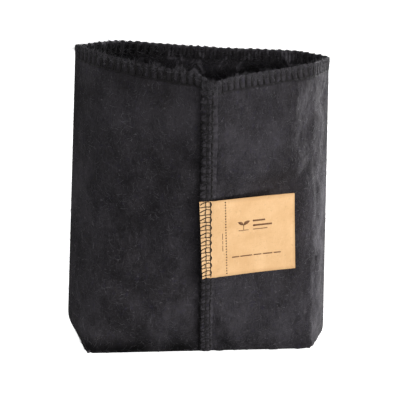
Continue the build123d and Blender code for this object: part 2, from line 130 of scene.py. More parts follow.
def noise(shape, wave, seed):
    """Seeded smooth noise with features about `wave` cells long, std 1."""
    rows, cols = shape
    rng = np.random.default_rng(seed)
    spectrum = np.fft.rfft2(rng.standard_normal((rows, cols)))
    fy = np.fft.fftfreq(rows)[:, None]
    fx = np.fft.rfftfreq(cols)[None, :]
    sigma = wave / 2.6
    spectrum *= np.exp(-0.5 * ((fy * fy + fx * fx) * (2 * math.pi * sigma) ** 2))
    field = np.fft.irfft2(spectrum, s=(rows, cols))
    return (field - field.mean()) / (field.std() + 1e-9)


def normals(grid):
    return unit(np.cross(np.gradient(grid, axis=0), np.gradient(grid, axis=1)))


def catmull(points, step, closed=False):
    """Smooth curve through points, resampled about `step` apart."""
    points = np.asarray(points, float)
    if closed:
        ext = np.concatenate([points[-1:], points, points[:2]])
    else:
        ext = np.concatenate([2 * points[:1] - points[1:2], points,
                              2 * points[-1:] - points[-2:-1]])
    out = []
    for p0, p1, p2, p3 in zip(ext, ext[1:], ext[2:], ext[3:]):
        count = max(1, int(round(np.linalg.norm(p2 - p1) / step)))
        t = (np.arange(count) / count)[:, None]
        out.append(0.5 * ((2 * p1) + (p2 - p0) * t + (2 * p0 - 5 * p1 + 4 * p2 - p3) * t * t
                          + (3 * p1 - p0 - 3 * p2 + p3) * t ** 3))
    if not closed:
        out.append(points[-1:])
    return np.concatenate(out)


def smooth_ring(points, count):
    """Closed smooth ring through points, resampled to `count` points."""
    ring = catmull(points, 0.25, closed=True)
    ring = np.concatenate([ring, ring[:1]])
    run = np.concatenate([[0], np.cumsum(np.linalg.norm(np.diff(ring, axis=0), axis=1))])
    at = np.linspace(0, run[-1], count, endpoint=False)
    return np.stack([np.interp(at, run, ring[:, i]) for i in range(3)], -1)


# =====================================================================
# Key lines and the two front faces
# =====================================================================
def on_key(line, share):
    """Points of a key line at shares of its height."""
    share = np.asarray(share, float)[:, None]
    if line is RIDGE:
        # the folded seam is stiff: it bows out a little just above the base
        bow = ease(share, 0, 0.14) * (1 - ease(share, 0.13, 0.28))
        return line[0] + (line[1] - line[0]) * share + bow * np.array([-1.6, -7.5, 0.0])
    if len(line) == 2:
        return line[0] + (line[1] - line[0]) * share
    knee = line[1][2] / line[2][2]
    low = line[0] + (line[1] - line[0]) * (share / knee)
    high = line[1] + (line[2] - line[1]) * ((share - knee) / (1 - knee))
    return np.where(share <= knee, low, high)


def on_soft_key(line, share):
    """The same, with the bend of a three-point line softened."""
    if len(line) == 2:
        return on_key(line, share)
    out = np.zeros((len(share), 3))
    total = 0.0
    foot = on_key(line, np.zeros_like(share))
    for i in range(-8, 9):
        weight = math.exp(-0.5 * (i / 3.2) ** 2)
        shifted = share + i * 1.15 / HEIGHT
        p = on_key(line, np.abs(shifted))
        p = np.where((shifted < 0)[:, None], 2 * foot - p, p)
        out += weight * p
        total += weight
    return out / total


def plan_normal(start, end):
    run = end[..., :2] - start[..., :2]
    run = run / np.linalg.norm(run, axis=-1, keepdims=True)
    return np.stack([run[..., 1], -run[..., 0], np.zeros(run.shape[:-1])], -1)


def front_frames(share):
    """Left crease, ridge and right crease, and the outward normals of both faces."""
    share = np.atleast_1d(np.asarray(share, float))
    left, ridge, right = (on_key(k, share) for k in (FRONT_LEFT, RIDGE, FRONT_RIGHT))
    return left, ridge, right, plan_normal(left, ridge), plan_normal(ridge, right)


def on_left(share, across, out):
    """Points `across` left of the ridge along the left face, `out` outside it."""
    share, across, out = np.broadcast_arrays(np.atleast_1d(share).astype(float), across, out)
    left, ridge, _, normal, _ = front_frames(share)
    run = left - ridge
    length = np.linalg.norm(run[:, :2], axis=1)
    level = run.copy()
    level[:, 2] = 0
    step = np.where((across < 0)[:, None], unit(level) * across[:, None],
                    run * (across / length)[:, None])
    return ridge + step + normal * out[:, None]


def on_right(share, across, out):
    """Points `across` right of the ridge along the right face, `out` outside it."""
    share, across, out = np.broadcast_arrays(np.atleast_1d(share).astype(float), across, out)
    _, ridge, right, _, normal = front_frames(share)
    run = right - ridge
    length = np.linalg.norm(run[:, :2], axis=1)
    return ridge + run * (across / length)[:, None] + normal * out[:, None]


# =====================================================================
# Mesh helpers
# =====================================================================
class Piece:
    """Collects vertices, faces, corner UVs and point attributes of one mesh."""

    def __init__(self):
        self.verts, self.faces, self.uvs = [], [], []
        self.attributes = {}
        self.count = 0

    def add(self, verts, faces, uvs, **attributes):
        self.verts.append(verts)
        self.faces.extend([tuple(i + self.count for i in face) for face in faces])
        self.uvs.extend(uvs)
        for name, values in attributes.items():
            values = np.broadcast_to(values, (len(verts),))
            self.attributes.setdefault(name, []).append(values)
        self.count += len(verts)

    def make(self, name, material, sharp=None, replaces=()):
        """Builds the object; edges bent more than `sharp` degrees stay sharp."""
        verts = np.concatenate(self.verts) * MM
        low = verts[:, 2] < 0                    # nothing reaches below the floor
        verts[low, 2] = 3e-5 * np.exp(verts[low, 2] / MM)
        mesh = bpy.data.meshes.new(name)
        mesh.from_pydata(verts.tolist(), [], self.faces)
        corners = np.array([c for face in self.uvs for c in face], np.float32)
        mesh.uv_layers.new(name="OFBake").data.foreach_set("uv", corners.reshape(-1))
        for key, parts in self.attributes.items():
            attribute = mesh.attributes.new(key, "FLOAT", "POINT")
            attribute.data.foreach_set("value", np.concatenate(parts).astype(np.float32))
        mesh.polygons.foreach_set("use_smooth", [True] * len(mesh.polygons))
        mesh.validate(verbose=False)
        mesh.update()
        ob = bpy.data.objects.new(name, mesh)
        bpy.context.scene.collection.objects.link(ob)
        mesh.materials.append(material)
        if sharp:
            mark_sharp(mesh, math.radians(sharp))
        if replaces:
            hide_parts(*replaces)
        return ob


def mark_sharp(mesh, limit):
    bm = bmesh.new()
    bm.from_mesh(mesh)
    for edge in bm.edges:
        if len(edge.link_faces) == 2 and edge.calc_face_angle(0) > limit:
            edge.smooth = False
    bm.to_mesh(mesh)
    bm.free()


def cells(grid):
    """The four corner entries of every cell of a grid of indices or UVs."""
    corners = [grid[:-1, :-1], grid[1:, :-1], grid[1:, 1:], grid[:-1, 1:]]
    return np.stack(corners, 2).reshape((-1, 4) + grid.shape[2:])


def uv_grid(u, v):
    return np.stack(np.broadcast_arrays(u, v), -1)


def add_bar(piece, rings, uv_box, inside=0.0, tone=0.5):
    """Adds a closed bar made of rings along axis 0, with a flat cap at each end."""
    count, sides = rings.shape[:2]
    index = np.arange(count * sides).reshape(count, sides)
    x0, y0, x1, y1 = uv_box
    turned = [0, 3, 2, 1]
    faces = cells(np.concatenate([index, index[:, :1]], 1))[:, turned].tolist()
    u = x0 + (x1 - x0) * np.arange(count) / count
    v = y0 + (y1 - y0) * np.arange(sides + 1) / sides
    uvs = cells(uv_grid(u[:, None], v))[:, turned].tolist()
    cap_uv = [(x0 + 0.003 * math.cos(6.28 * i / sides), y1 + 0.003 * math.sin(6.28 * i / sides))
              for i in range(sides)]
    faces += [index[0].tolist()[::-1], index[-1].tolist()]
    uvs += [cap_uv, cap_uv]
    piece.add(rings.reshape(-1, 3), faces, uvs, inside=inside, tone=tone)


THREAD_SIDES = 6


def thread(name, path, radius, material, replaces):
    """Round cord along a path, closed at both ends, its UV laid out in rows."""
    count = len(path)
    sides = THREAD_SIDES
    tangent = unit(np.gradient(path, axis=0))
    normal = np.cross(tangent[0], (0.13, 0.31, 0.94))
    normal /= np.linalg.norm(normal)
    angles = 2 * np.pi * np.arange(sides) / sides
    cos, sin = np.cos(angles)[:, None], np.sin(angles)[:, None]
    verts = np.zeros((count, sides, 3))
    for i in range(count):
        normal = normal - tangent[i] * normal.dot(tangent[i])
        size = math.sqrt(normal.dot(normal))
        if size < 1e-6:                          # the path turned along the normal
            normal = np.cross(tangent[i], (0.5, 0.7, 0.2))
            size = math.sqrt(normal.dot(normal))
        normal = normal / size
        verts[i] = path[i] + radius * (cos * normal + sin * np.cross(tangent[i], normal))
    run = np.concatenate([[0], np.cumsum(np.linalg.norm(np.diff(path, axis=0), axis=1))])
    total = run[-1]
    rows = max(1, int(round(math.sqrt(total / (2 * math.pi * radius * 1.3)))))
    row_len = total / rows
    faces, uvs = [], []
    for i in range(count - 1):
        row = min(rows - 1, int((run[i] + run[i + 1]) / 2 / row_len))
        u0, u1 = np.clip((run[i:i + 2] - row * row_len) / row_len, 0, 1) * 0.995
        for j in range(sides):
            a, b = i * sides + j, i * sides + (j + 1) % sides
            v0 = (row + 0.9 * j / sides) / rows
            v1 = (row + 0.9 * (j + 1) / sides) / rows
            faces.append((a, b, b + sides, a + sides))
            uvs.append(((u0, v0), (u0, v1), (u1, v1), (u1, v0)))
    cap_uv = [(0.002 * math.cos(a), 0.002 * math.sin(a)) for a in angles]
    last = (count - 1) * sides
    faces += [range(sides)[::-1], range(last, last + sides)]
    uvs += [cap_uv[::-1], cap_uv]
    piece = Piece()
    piece.add(verts.reshape(-1, 3), faces, uvs)
    return piece.make(name, material, replaces=replaces)


# =====================================================================
# Materials
# =====================================================================
def srgb(*rgb):
    def linear(c):
        c = c / 255
        return c / 12.92 if c <= 0.04045 else ((c + 0.055) / 1.055) ** 2.4
    return tuple(linear(c) for c in rgb) + (1.0,)


class Shader:
    """A Principled material and short calls that wire nodes into it."""

    def __init__(self, name):
        self.material = bpy.data.materials.new(name)
        self.material.use_nodes = True
        self.tree = self.material.node_tree
        self.bsdf = self.tree.nodes["Principled BSDF"]

    def new(self, kind, **settings):
        node = self.tree.nodes.new(kind)
        for key, value in settings.items():
            setattr(node, key, value)
        return node

    def feed(self, socket, value):
        if isinstance(value, (int, float, tuple)):
            socket.default_value = value
        else:
            self.tree.links.new(value, socket)

    def coords(self, scale=(1, 1, 1), turn=(0, 0, 0)):
        source = self.new("ShaderNodeTexCoord")
        mapping = self.new("ShaderNodeMapping")
        self.feed(mapping.inputs["Scale"], scale)
        self.feed(mapping.inputs["Rotation"], turn)
        self.feed(mapping.inputs["Vector"], source.outputs["Object"])
        return mapping.outputs["Vector"]

    def noise(self, scale, detail=2.0, rough=0.5, distort=0.0, at=None):
        at = at or self.coords()
        node = self.new("ShaderNodeTexNoise")
        for key, value in (("Scale", scale), ("Detail", detail), ("Roughness", rough),
                           ("Distortion", distort), ("Vector", at)):
            self.feed(node.inputs[key], value)
        return node.outputs["Fac"]

    def ramp(self, value, *stops):
        """Colour ramp; each stop is (position, grey level or colour)."""
        node = self.new("ShaderNodeValToRGB")
        elements = node.color_ramp.elements
        while len(elements) < len(stops):
            elements.new(0.5)
        for element, (position, color) in zip(elements, stops):
            element.position = position
            element.color = color if isinstance(color, tuple) else (color, color, color, 1)
        self.feed(node.inputs["Fac"], value)
        return node.outputs["Color"]

    def math(self, operation, a, b, clamp=False):
        node = self.new("ShaderNodeMath", operation=operation, use_clamp=clamp)
        self.feed(node.inputs[0], a)
        self.feed(node.inputs[1], b)
        return node.outputs[0]

    def times(self, a, b):
        return self.math("MULTIPLY", a, b)

    def plus(self, a, b):
        return self.math("ADD", a, b)

    def mix(self, amount, a, b, mode="MIX"):
        node = self.new("ShaderNodeMix", data_type="RGBA", blend_type=mode)
        for i, value in ((0, amount), (6, a), (7, b)):
            self.feed(node.inputs[i], value)
        return node.outputs[2]

    def tint(self, color, mask, amount, to):
        """Mixes `to` over the colour where the mask is light."""
        return self.mix(self.times(mask, amount), color, to)

    def attribute(self, name):
        return self.new("ShaderNodeAttribute", attribute_name=name).outputs["Fac"]

    def finish(self, color, rough, height, strength, distance, sheen, spec):
        """Colour, roughness, sheen and specular, and bump from height (distance in m)."""
        bump = self.new("ShaderNodeBump")
        self.feed(bump.inputs["Strength"], strength)
        self.feed(bump.inputs["Distance"], distance)
        self.feed(bump.inputs["Height"], height)
        for key, value in (("Normal", bump.outputs["Normal"]), ("Base Color", color),
                           ("Roughness", rough), ("Sheen Weight", sheen),
                           ("Sheen Roughness", 0.55), ("Sheen Tint", (0.75, 0.74, 0.78, 1)),
                           ("Specular IOR Level", spec)):
            self.feed(self.bsdf.inputs[key], value)
        return self.material


def felt_material():
    """Needle-punched reused-fibre felt: dark matrix, tangled lighter fibres,
    tufts on the inside, specks of other colours."""
    mat = Shader("felt")
    base = mat.coords()
    cloud = mat.noise(scale=22.0, detail=3.0, rough=0.6, distort=0.4, at=base)
    blotch = mat.noise(scale=85.0, detail=3.0, rough=0.6, distort=0.5, at=base)
    tuft = mat.noise(scale=260.0, detail=3.0, rough=0.62, distort=0.8, at=base)
    grain = mat.noise(scale=820.0, detail=3.0, rough=0.68, distort=0.6, at=base)
    # fibres: three stretched, tangled noises lying at different angles
    fibre_1 = mat.noise(scale=1250.0, detail=1.5, distort=1.4,
                        at=mat.coords((1.0, 1.0, 0.14), (0.3, 0.5, 0.2)))
    fibre_2 = mat.noise(scale=1250.0, detail=1.5, distort=1.4,
                        at=mat.coords((0.14, 1.0, 1.0), (0.1, 0.9, 0.7)))
    fibre_3 = mat.noise(scale=1700.0, detail=1.0, distort=2.0,
                        at=mat.coords((1.0, 0.5, 0.14), (0.2, -0.8, 0.4)))
    fibres_12 = mat.math("MAXIMUM", mat.ramp(fibre_1, (0.57, 0.0), (0.72, 1.0)),
                         mat.ramp(fibre_2, (0.58, 0.0), (0.73, 1.0)))
    fibre = mat.math("MAXIMUM", fibres_12, mat.ramp(fibre_3, (0.61, 0.0), (0.76, 1.0)))
    inside = mat.attribute("inside")
    tone = mat.attribute("tone")
    color = mat.ramp(grain, (0.22, srgb(30, 28.5, 30)), (0.5, srgb(49, 47, 50)),
                     (0.8, srgb(72, 69, 74)))
    color = mat.tint(color, mask=mat.ramp(blotch, (0.36, 0.0), (0.66, 1.0)), amount=0.50,
                     to=srgb(76, 73, 77))
    color = mat.tint(color, mask=mat.ramp(tuft, (0.34, 1.0), (0.58, 0.0)), amount=0.34,
                     to=srgb(28, 27, 28))
    color = mat.tint(color, mask=mat.ramp(cloud, (0.36, 1.0), (0.62, 0.0)), amount=0.36,
                     to=srgb(35, 32, 30))
    fibre_color = mat.mix(tuft, srgb(72, 69, 74), srgb(112, 108, 114))
    color = mat.tint(color, mask=fibre, amount=0.38, to=fibre_color)
    # a few light specks and coloured threads from the reused fibre
    speck = mat.noise(scale=760.0, detail=0.0, distort=0.9, at=mat.coords(turn=(0.4, 0.1, 0.9)))
    color = mat.tint(color, mask=mat.ramp(speck, (0.765, 0.0), (0.81, 1.0)), amount=0.35,
                     to=srgb(140, 137, 142))
    violet = mat.noise(scale=330.0, detail=1.0, distort=1.2, at=mat.coords(turn=(0.9, 0.2, 0.4)))
    color = mat.tint(color, mask=mat.ramp(violet, (0.30, 1.0), (0.36, 0.0)), amount=0.30,
                     to=srgb(54, 49, 72))
    olive = mat.noise(scale=290.0, detail=1.0, distort=1.2, at=mat.coords(turn=(0.1, 0.7, 0.3)))
    color = mat.tint(color, mask=mat.ramp(olive, (0.68, 0.0), (0.74, 1.0)), amount=0.22,
                     to=srgb(62, 57, 42))
    # the inner face is looser, with pale tufts
    pale = mat.noise(scale=105.0, detail=3.0, rough=0.62, distort=0.5,
                     at=mat.coords((1, 1, 0.8), (0.2, 0.3, 0.1)))
    pale = mat.times(mat.ramp(pale, (0.53, 0.0), (0.68, 1.0)), inside)
    color = mat.tint(color, mask=pale, amount=0.75, to=srgb(140, 136, 142))
    # tone: 0.5 neutral, with random variation; lower is painted shade, higher is paler felt and painted
    # light
    dark = mat.math("MULTIPLY", mat.math("SUBTRACT", 0.5, tone, clamp=True), 1.7, clamp=True)
    light = mat.math("MULTIPLY", mat.math("SUBTRACT", tone, 0.5, clamp=True), 1.2, clamp=True)
    color = mat.mix(dark, color, srgb(11, 10, 11))
    color = mat.mix(light, color, srgb(96, 93, 98))
    height = mat.plus(mat.times(grain, 0.55),
                      mat.plus(mat.times(fibre, 0.5), mat.times(tuft, 0.6)))
    gain = 0.74                                  # overall darkening
    color = mat.mix(1.0, color, (gain, gain, gain * 1.02, 1), "MULTIPLY")
    return mat.finish(color, rough=mat.ramp(grain, (0.3, 0.98), (0.7, 0.88)), height=height,
                      strength=0.8, distance=0.0006, sheen=0.03, spec=0.05)


def fibre_material():
    """Loose hairs; tone runs from dark to pale."""
    mat = Shader("felt_fibre")
    tone = mat.attribute("tone")
    grain = mat.noise(scale=2600.0, detail=1.0)
    color = mat.mix(tone, srgb(42, 40, 43), srgb(150, 147, 152))
    color = mat.tint(color, mask=grain, amount=0.3, to=srgb(36, 34, 37))
    color = mat.mix(1.0, color, (0.50, 0.50, 0.51, 1), "MULTIPLY")
    return mat.finish(color, rough=mat.ramp(grain, (0.3, 0.85), (0.7, 0.7)), height=grain,
                      strength=0.2, distance=0.0001, sheen=0.1, spec=0.2)


def thread_material(name, dark, light):
    """Spun polyester overlock thread: plies that twist, fuzz along them."""
    mat = Shader(name)
    fuzz = mat.noise(scale=2400.0, detail=3.0, rough=0.6, distort=0.5)
    slow = mat.noise(scale=180.0)
    plies = mat.new("ShaderNodeTexWave", wave_type="BANDS", bands_direction="DIAGONAL")
    for key, value in (("Scale", 1900.0), ("Distortion", 2.0), ("Detail", 1.0),
                       ("Vector", mat.coords())):
        mat.feed(plies.inputs[key], value)
    height = mat.plus(mat.times(plies.outputs["Fac"], 0.6), mat.times(fuzz, 0.5))
    color = mat.ramp(height, (0.2, dark), (0.85, light))
    color = mat.tint(color, mask=slow, amount=0.25, to=dark)
    return mat.finish(color, rough=mat.ramp(fuzz, (0.3, 0.85), (0.7, 0.62)), height=height,
                      strength=0.7, distance=0.00018, sheen=0.05, spec=0.3)


def card_material():
    """Uncoated kraft card: long pulp fibres, faint clouding, dark flecks."""
    mat = Shader("kraft_card")
    cloud = mat.noise(scale=60.0, detail=3.0, distort=0.4)
    pulp_1 = mat.noise(scale=900.0, detail=3.0, rough=0.6, distort=1.4,
                       at=mat.coords((1.0, 0.3, 0.22), (0, 0.4, 0)))
    pulp_2 = mat.noise(scale=1100.0, detail=2.0, rough=0.6, distort=1.4,
                       at=mat.coords((0.22, 0.3, 1.0), (0, 0.2, 0.3)))
    fleck = mat.ramp(mat.noise(scale=700.0, detail=0.0, distort=0.8), (0.24, 1.0), (0.29, 0.0))
    color = mat.ramp(cloud, (0.3, srgb(214, 171, 122)), (0.72, srgb(228, 188, 140)))
    color = mat.tint(color, mask=mat.ramp(pulp_1, (0.52, 0.0), (0.7, 1.0)), amount=0.28,
                     to=srgb(236, 203, 160))
    color = mat.tint(color, mask=mat.ramp(pulp_2, (0.54, 0.0), (0.72, 1.0)), amount=0.25,
                     to=srgb(198, 152, 102))
    color = mat.tint(color, mask=fleck, amount=0.16, to=srgb(150, 108, 68))
    # tone is the wear of the card's edges
    color = mat.tint(color, mask=mat.attribute("tone"), amount=0.5, to=srgb(168, 122, 76))
    height = mat.plus(mat.times(pulp_1, 0.5), mat.times(pulp_2, 0.5))
    return mat.finish(color, rough=mat.ramp(pulp_1, (0.3, 0.9), (0.7, 0.78)), height=height,
                      strength=0.25, distance=0.00012, sheen=0.05, spec=0.25)


def ink_material():
    mat = Shader("tag_ink")
    grain = mat.noise(scale=1600.0, detail=3.0, rough=0.6)
    color = mat.ramp(grain, (0.25, srgb(92, 62, 40)), (0.8, srgb(138, 98, 66)))
    return mat.finish(color, rough=mat.ramp(grain, (0.3, 0.75), (0.7, 0.6)), height=grain,
                      strength=0.15, distance=0.00005, sheen=0.0, spec=0.3)


FELT_MAT = felt_material()
FIBRE_MAT = fibre_material()
THREAD_MAT = thread_material("overlock_thread", dark=srgb(7, 6, 7), light=srgb(33, 29, 29))
SHADE_THREAD_MAT = thread_material("overlock_thread_shade", dark=srgb(8, 7, 8),
                                   light=srgb(33, 30, 31))
CARD_MAT = card_material()
INK_MAT = ink_material()


# =====================================================================
# The felt tube, as a front and a back half that meet in the side folds
# =====================================================================
class Half:
    """One half of the tube: outer face as a grid of columns round the bag and rows up it.

    rim is the place along the rim of each column, depth the distance of each
    point below the rim, starts the columns that lie on the key lines.
    """

    def __init__(self, keys, softness, seed):
        self.seed = seed
        columns, self.starts = [], [0]
        for left, right in zip(keys, keys[1:]):
            count = int(round(np.linalg.norm(left[-1][:2] - right[-1][:2]) / COLUMN_STEP))
            t = (np.arange(count) / count)[:, None, None]
            columns.append(on_soft_key(left, ROWS)[None] * (1 - t)
                           + on_soft_key(right, ROWS)[None] * t)
            self.starts.append(self.starts[-1] + count)
        columns.append(on_soft_key(keys[-1], ROWS)[None])
        points = np.concatenate(columns)
        self.columns = len(points)
        # crease rounding: soft at some keys, sharp at others
        sharp, soft = (blur(points, sigma / COLUMN_STEP, 0) for sigma in (2.2, 6.5))
        weight = np.zeros(self.columns)
        for start, amount in zip(self.starts, softness):
            away = (np.arange(self.columns) - start) * COLUMN_STEP
            weight = np.maximum(weight, amount * np.exp(-0.5 * (away / 14.0) ** 2))
        weight = weight[:, None, None]
        self.points = sharp * (1 - weight) + soft * weight
        self.roll_bottom()
        self.measure()

    def roll_bottom(self):
        z = self.points[:, :, 2]
        run = np.gradient(self.points, axis=0)
        out = unit(np.stack([run[..., 1], -run[..., 0], np.zeros_like(z)], -1))
        up = BOTTOM_ROLL - np.minimum(z, BOTTOM_ROLL)
        inset = BOTTOM_ROLL - np.sqrt(np.maximum(BOTTOM_ROLL ** 2 - up ** 2, 0))
        self.points = self.points - out * np.where(z < BOTTOM_ROLL, inset, 0)[..., None]

    def measure(self):
        steps = np.linalg.norm(np.diff(self.points[:, -1], axis=0), axis=1)
        self.rim = np.concatenate([[0], np.cumsum(steps)])
        steps = np.linalg.norm(np.diff(self.points, axis=1), axis=2)
        self.depth = np.concatenate([np.cumsum(steps[:, ::-1], axis=1)[:, ::-1],
                                     np.zeros((self.columns, 1))], axis=1)
        self.length = self.rim[-1]
        self.stitches = int(round(self.length / STITCH))
        self.pitch = self.length / self.stitches

    def edge_mask(self, width):
        """0 at both folds, 1 inside, so that the halves meet exactly."""
        x = np.arange(self.columns) * COLUMN_STEP
        return ease(np.minimum(x, x[-1] - x), 0, width)[:, None]

    def at(self, place, depth, out):
        """Points by place along the rim, depth below it and distance outside."""
        column = np.interp(place, self.rim, np.arange(self.columns))
        first = np.clip(column.astype(int), 0, self.columns - 2)
        result = np.zeros((len(place), 3))
        for i, c in enumerate(first):
            row = ROW_COUNT - 1 - np.interp(max(depth[i], 0), self.depth[c][::-1],
                                            np.arange(ROW_COUNT))
            r = min(int(row), ROW_COUNT - 2)
            t = row - r
            here = self.points[c, r] * (1 - t) + self.points[c, r + 1] * t
            beside = self.points[c + 1, r] * (1 - t) + self.points[c + 1, r + 1] * t
            normal = self.normal[c, r] * (1 - t) + self.normal[c + 1, r] * t
            part = column[i] - c
            result[i] = here * (1 - part) + beside * part + unit(normal) * out[i]
            if depth[i] < 0:
                result[i, 2] -= depth[i]
        return result


front = Half([LEFT_FOLD, FRONT_LEFT, RIDGE, FRONT_RIGHT, RIGHT_FOLD],
             softness=(0, 1.0, 0, 0.6, 0), seed=11)
back = Half([RIGHT_FOLD, BACK_RIGHT, BACK_MID, BACK_LEFT, LEFT_FOLD],
            softness=(0, 0.6, 1.0, 1.0, 0), seed=23)


# ---------------------------------------------------------------- soft shape
def tag_area(x, share, left, end, low, high):
    """1 over the tag's part of the right face; each edge is an ease's (start, end)."""
    return (ease(x, *left) * (1 - ease(x, *end))
            * ease(share, *low) * (1 - ease(share, *high)))


def pins(half, cols, rows, rim_from, key_hold):
    """How firmly the cloth is held at the base, the rim and the key lines."""
    share = ROWS[rows][None, :]
    weight = np.zeros((len(cols), len(rows)))
    weight = np.maximum(weight, 1 - ease(share, 0.0, 0.06))
    weight = np.maximum(weight, ease(share, rim_from, 1.0))
    for start, hold in zip(half.starts, key_hold):
        away = np.abs(cols - start)[:, None] * COLUMN_STEP
        weight = np.maximum(weight, hold * (1 - ease(away, 3.0, 14.0)))
    return weight


def pins_front(cols, rows):
    weight = pins(front, cols, rows, rim_from=0.93, key_hold=(1.0, 0.35, 1.0, 0.6, 1.0))
    x = (cols - front.starts[2])[:, None] * COLUMN_STEP
    tag = tag_area(x, ROWS[rows][None, :], left=(-2, 6), end=(62, 76), low=(0.23, 0.29),
                   high=(0.59, 0.65))
    return np.maximum(weight, 0.85 * tag)


def pins_back(cols, rows):
    return pins(back, cols, rows, rim_from=0.94, key_hold=(1.0, 0.5, 0.0, 0.5, 1.0))


CLOTH_SCALE = 10               # the cloth is simulated this many times life size
CLOTH_CELL = (5.0, 5.2)        # its column and row spacing
CLOTH_SETTINGS = dict(
    quality=6, mass=0.35,
    tension_stiffness=18, compression_stiffness=18, shear_stiffness=10, bending_stiffness=3.0,
    tension_damping=12, compression_damping=12, shear_damping=12, bending_damping=1.0,
    air_damping=3.0, vertex_group_mass="pin", pin_stiffness=2.0, shrink_min=-0.022,
    use_pressure=True, uniform_pressure_force=0.5)
MOST_DRAPE = 4.5


def run_cloth(start, weight):
    """Simulates a grid of points, held by weight; returns where they come to rest."""
    index = np.arange(weight.size).reshape(weight.shape)
    mesh = bpy.data.meshes.new("drape")
    mesh.from_pydata((start.reshape(-1, 3) * MM * CLOTH_SCALE).tolist(), [],
                     cells(index).tolist())
    ob = bpy.data.objects.new("drape", mesh)
    bpy.context.scene.collection.objects.link(ob)
    group = ob.vertex_groups.new(name="pin")
    for i, value in enumerate(weight.reshape(-1)):
        if value > 0.01:
            group.add([i], float(min(value, 1.0)), "REPLACE")
    cloth = ob.modifiers.new("cloth", "CLOTH")
    for key, value in CLOTH_SETTINGS.items():
        setattr(cloth.settings, key, value)
    cloth.settings.effector_weights.gravity = 0.25
    cloth.collision_settings.use_collision = False
    cloth.collision_settings.use_self_collision = False
    cloth.point_cache.frame_start = 1
    cloth.point_cache.frame_end = 40
    scene = bpy.context.scene
    for frame in range(1, 31):
        scene.frame_set(frame)
    evaluated = ob.evaluated_get(bpy.context.evaluated_depsgraph_get())
    rest = np.array([v.co for v in evaluated.data.vertices], float)
    scene.frame_set(1)
    bpy.data.objects.remove(ob)
    return rest.reshape(start.shape) / (MM * CLOTH_SCALE)


def drape(half, pin_weights):
    """How the felt hangs between its seams, simulated on a coarse copy of the
    half.  Returns a displacement for every grid point."""
    step = max(1, int(round(CLOTH_CELL[0] / COLUMN_STEP)))
    cols = np.unique(np.concatenate([np.arange(0, half.columns, step), [half.columns - 1],
                                     half.starts]))
    rows = np.searchsorted(ROWS * HEIGHT, np.arange(0, 214.1, CLOTH_CELL[1]))
    rows = np.unique(np.concatenate([[0], rows.clip(0, ROW_COUNT - 1), [ROW_COUNT - 1]]))
    start = half.points[np.ix_(cols, rows)]
    weight = pin_weights(cols, rows)
    move = run_cloth(start, weight) - start
    size = np.linalg.norm(move, axis=2, keepdims=True)
    move = (move * np.minimum(1.0, MOST_DRAPE / np.maximum(size, 1e-6))
            * (1 - np.minimum(weight, 1))[..., None])
    # spread the coarse answer over the fine grid
    tall = np.zeros((len(cols), ROW_COUNT, 3))
    out = np.zeros((half.columns, ROW_COUNT, 3))
    for axis in range(3):
        for i in range(len(cols)):
            tall[i, :, axis] = np.interp(ROWS, ROWS[rows], move[i, :, axis])
        for j in range(ROW_COUNT):
            out[:, j, axis] = np.interp(np.arange(half.columns), cols, tall[:, j, axis])
    return blur(blur(out, 3.0, 0), 2.5, 1)


front.points = front.points + drape(front, pins_front)
back.points = back.points + drape(back, pins_back)


def soften(half, seed, amount, keep=1.0):
    """Slow hand-made unevenness of the cut and sewn felt."""
    shape = (half.columns, ROW_COUNT)
    waves = noise(shape, 46, seed) * 0.6 + noise(shape, 20, seed + 1) * 0.25
    mask = (half.edge_mask(16) * ease(half.depth, 0, 10)
            * ease(half.points[..., 2], 1, 12) * keep)
    half.points = half.points + normals(half.points) * (waves * mask * amount)[..., None]


# distance right of the front seam root, per column
SEAM_X = ((np.arange(front.columns) - front.starts[2]) * COLUMN_STEP)[:, None]
soften(front, 31, 0.9, 1 - 0.8 * tag_area(SEAM_X, ROWS[None], left=(-2, 6), end=(60, 72),
                                          low=(0.24, 0.28), high=(0.60, 0.65)))
soften(back, 37, 1.3)


def pucker_front():
    """The pucker left of the seam, low down, and small drags where threads pull."""
    z = front.points[..., 2]
    pucker = (np.exp(-0.5 * ((z - 41.0) / 2.0) ** 2) * -0.9
              + np.exp(-0.5 * ((z - 45.5) / 2.6) ** 2) * 0.7)
    pucker = pucker * ease(-SEAM_X, 8, 11) * (1 - ease(-SEAM_X, 14, 22))
    phase = z / (STITCH * 2.6) * 2 * np.pi + 2.2 * noise((front.columns, ROW_COUNT), 40, 77)
    from_fin = np.abs(np.where(SEAM_X < 0, SEAM_X + 9.5, SEAM_X - 1.5))
    beside_fin = np.where((SEAM_X < -8) | (SEAM_X > 1), 1.0, 0.0)
    drag = 0.22 * np.sin(phase) * np.exp(-from_fin / 5.0) * beside_fin
    out = (pucker + drag) * ease(front.depth, 4, 14)
    front.points = front.points + normals(front.points) * out[..., None]


# rise of the rim by distance left of the front seam root
SAG_LEFT = [-45, -20, -8, -2, 4, 7, 10, 13, 17, 23, 32, 45]
SAG_RISE = [0.0, 0.1, -0.4, -1.1, -1.5, -1.3, -0.3, 0.9, 1.7, 0.9, 0.3, 0.0]

pucker_front()
front.points[..., 2] += (np.interp(-SEAM_X, SAG_LEFT, SAG_RISE)
                         * (1 - ease(front.depth, 0, 26)))
for half in (front, back):
    half.normal = normals(half.points)
    half.measure()


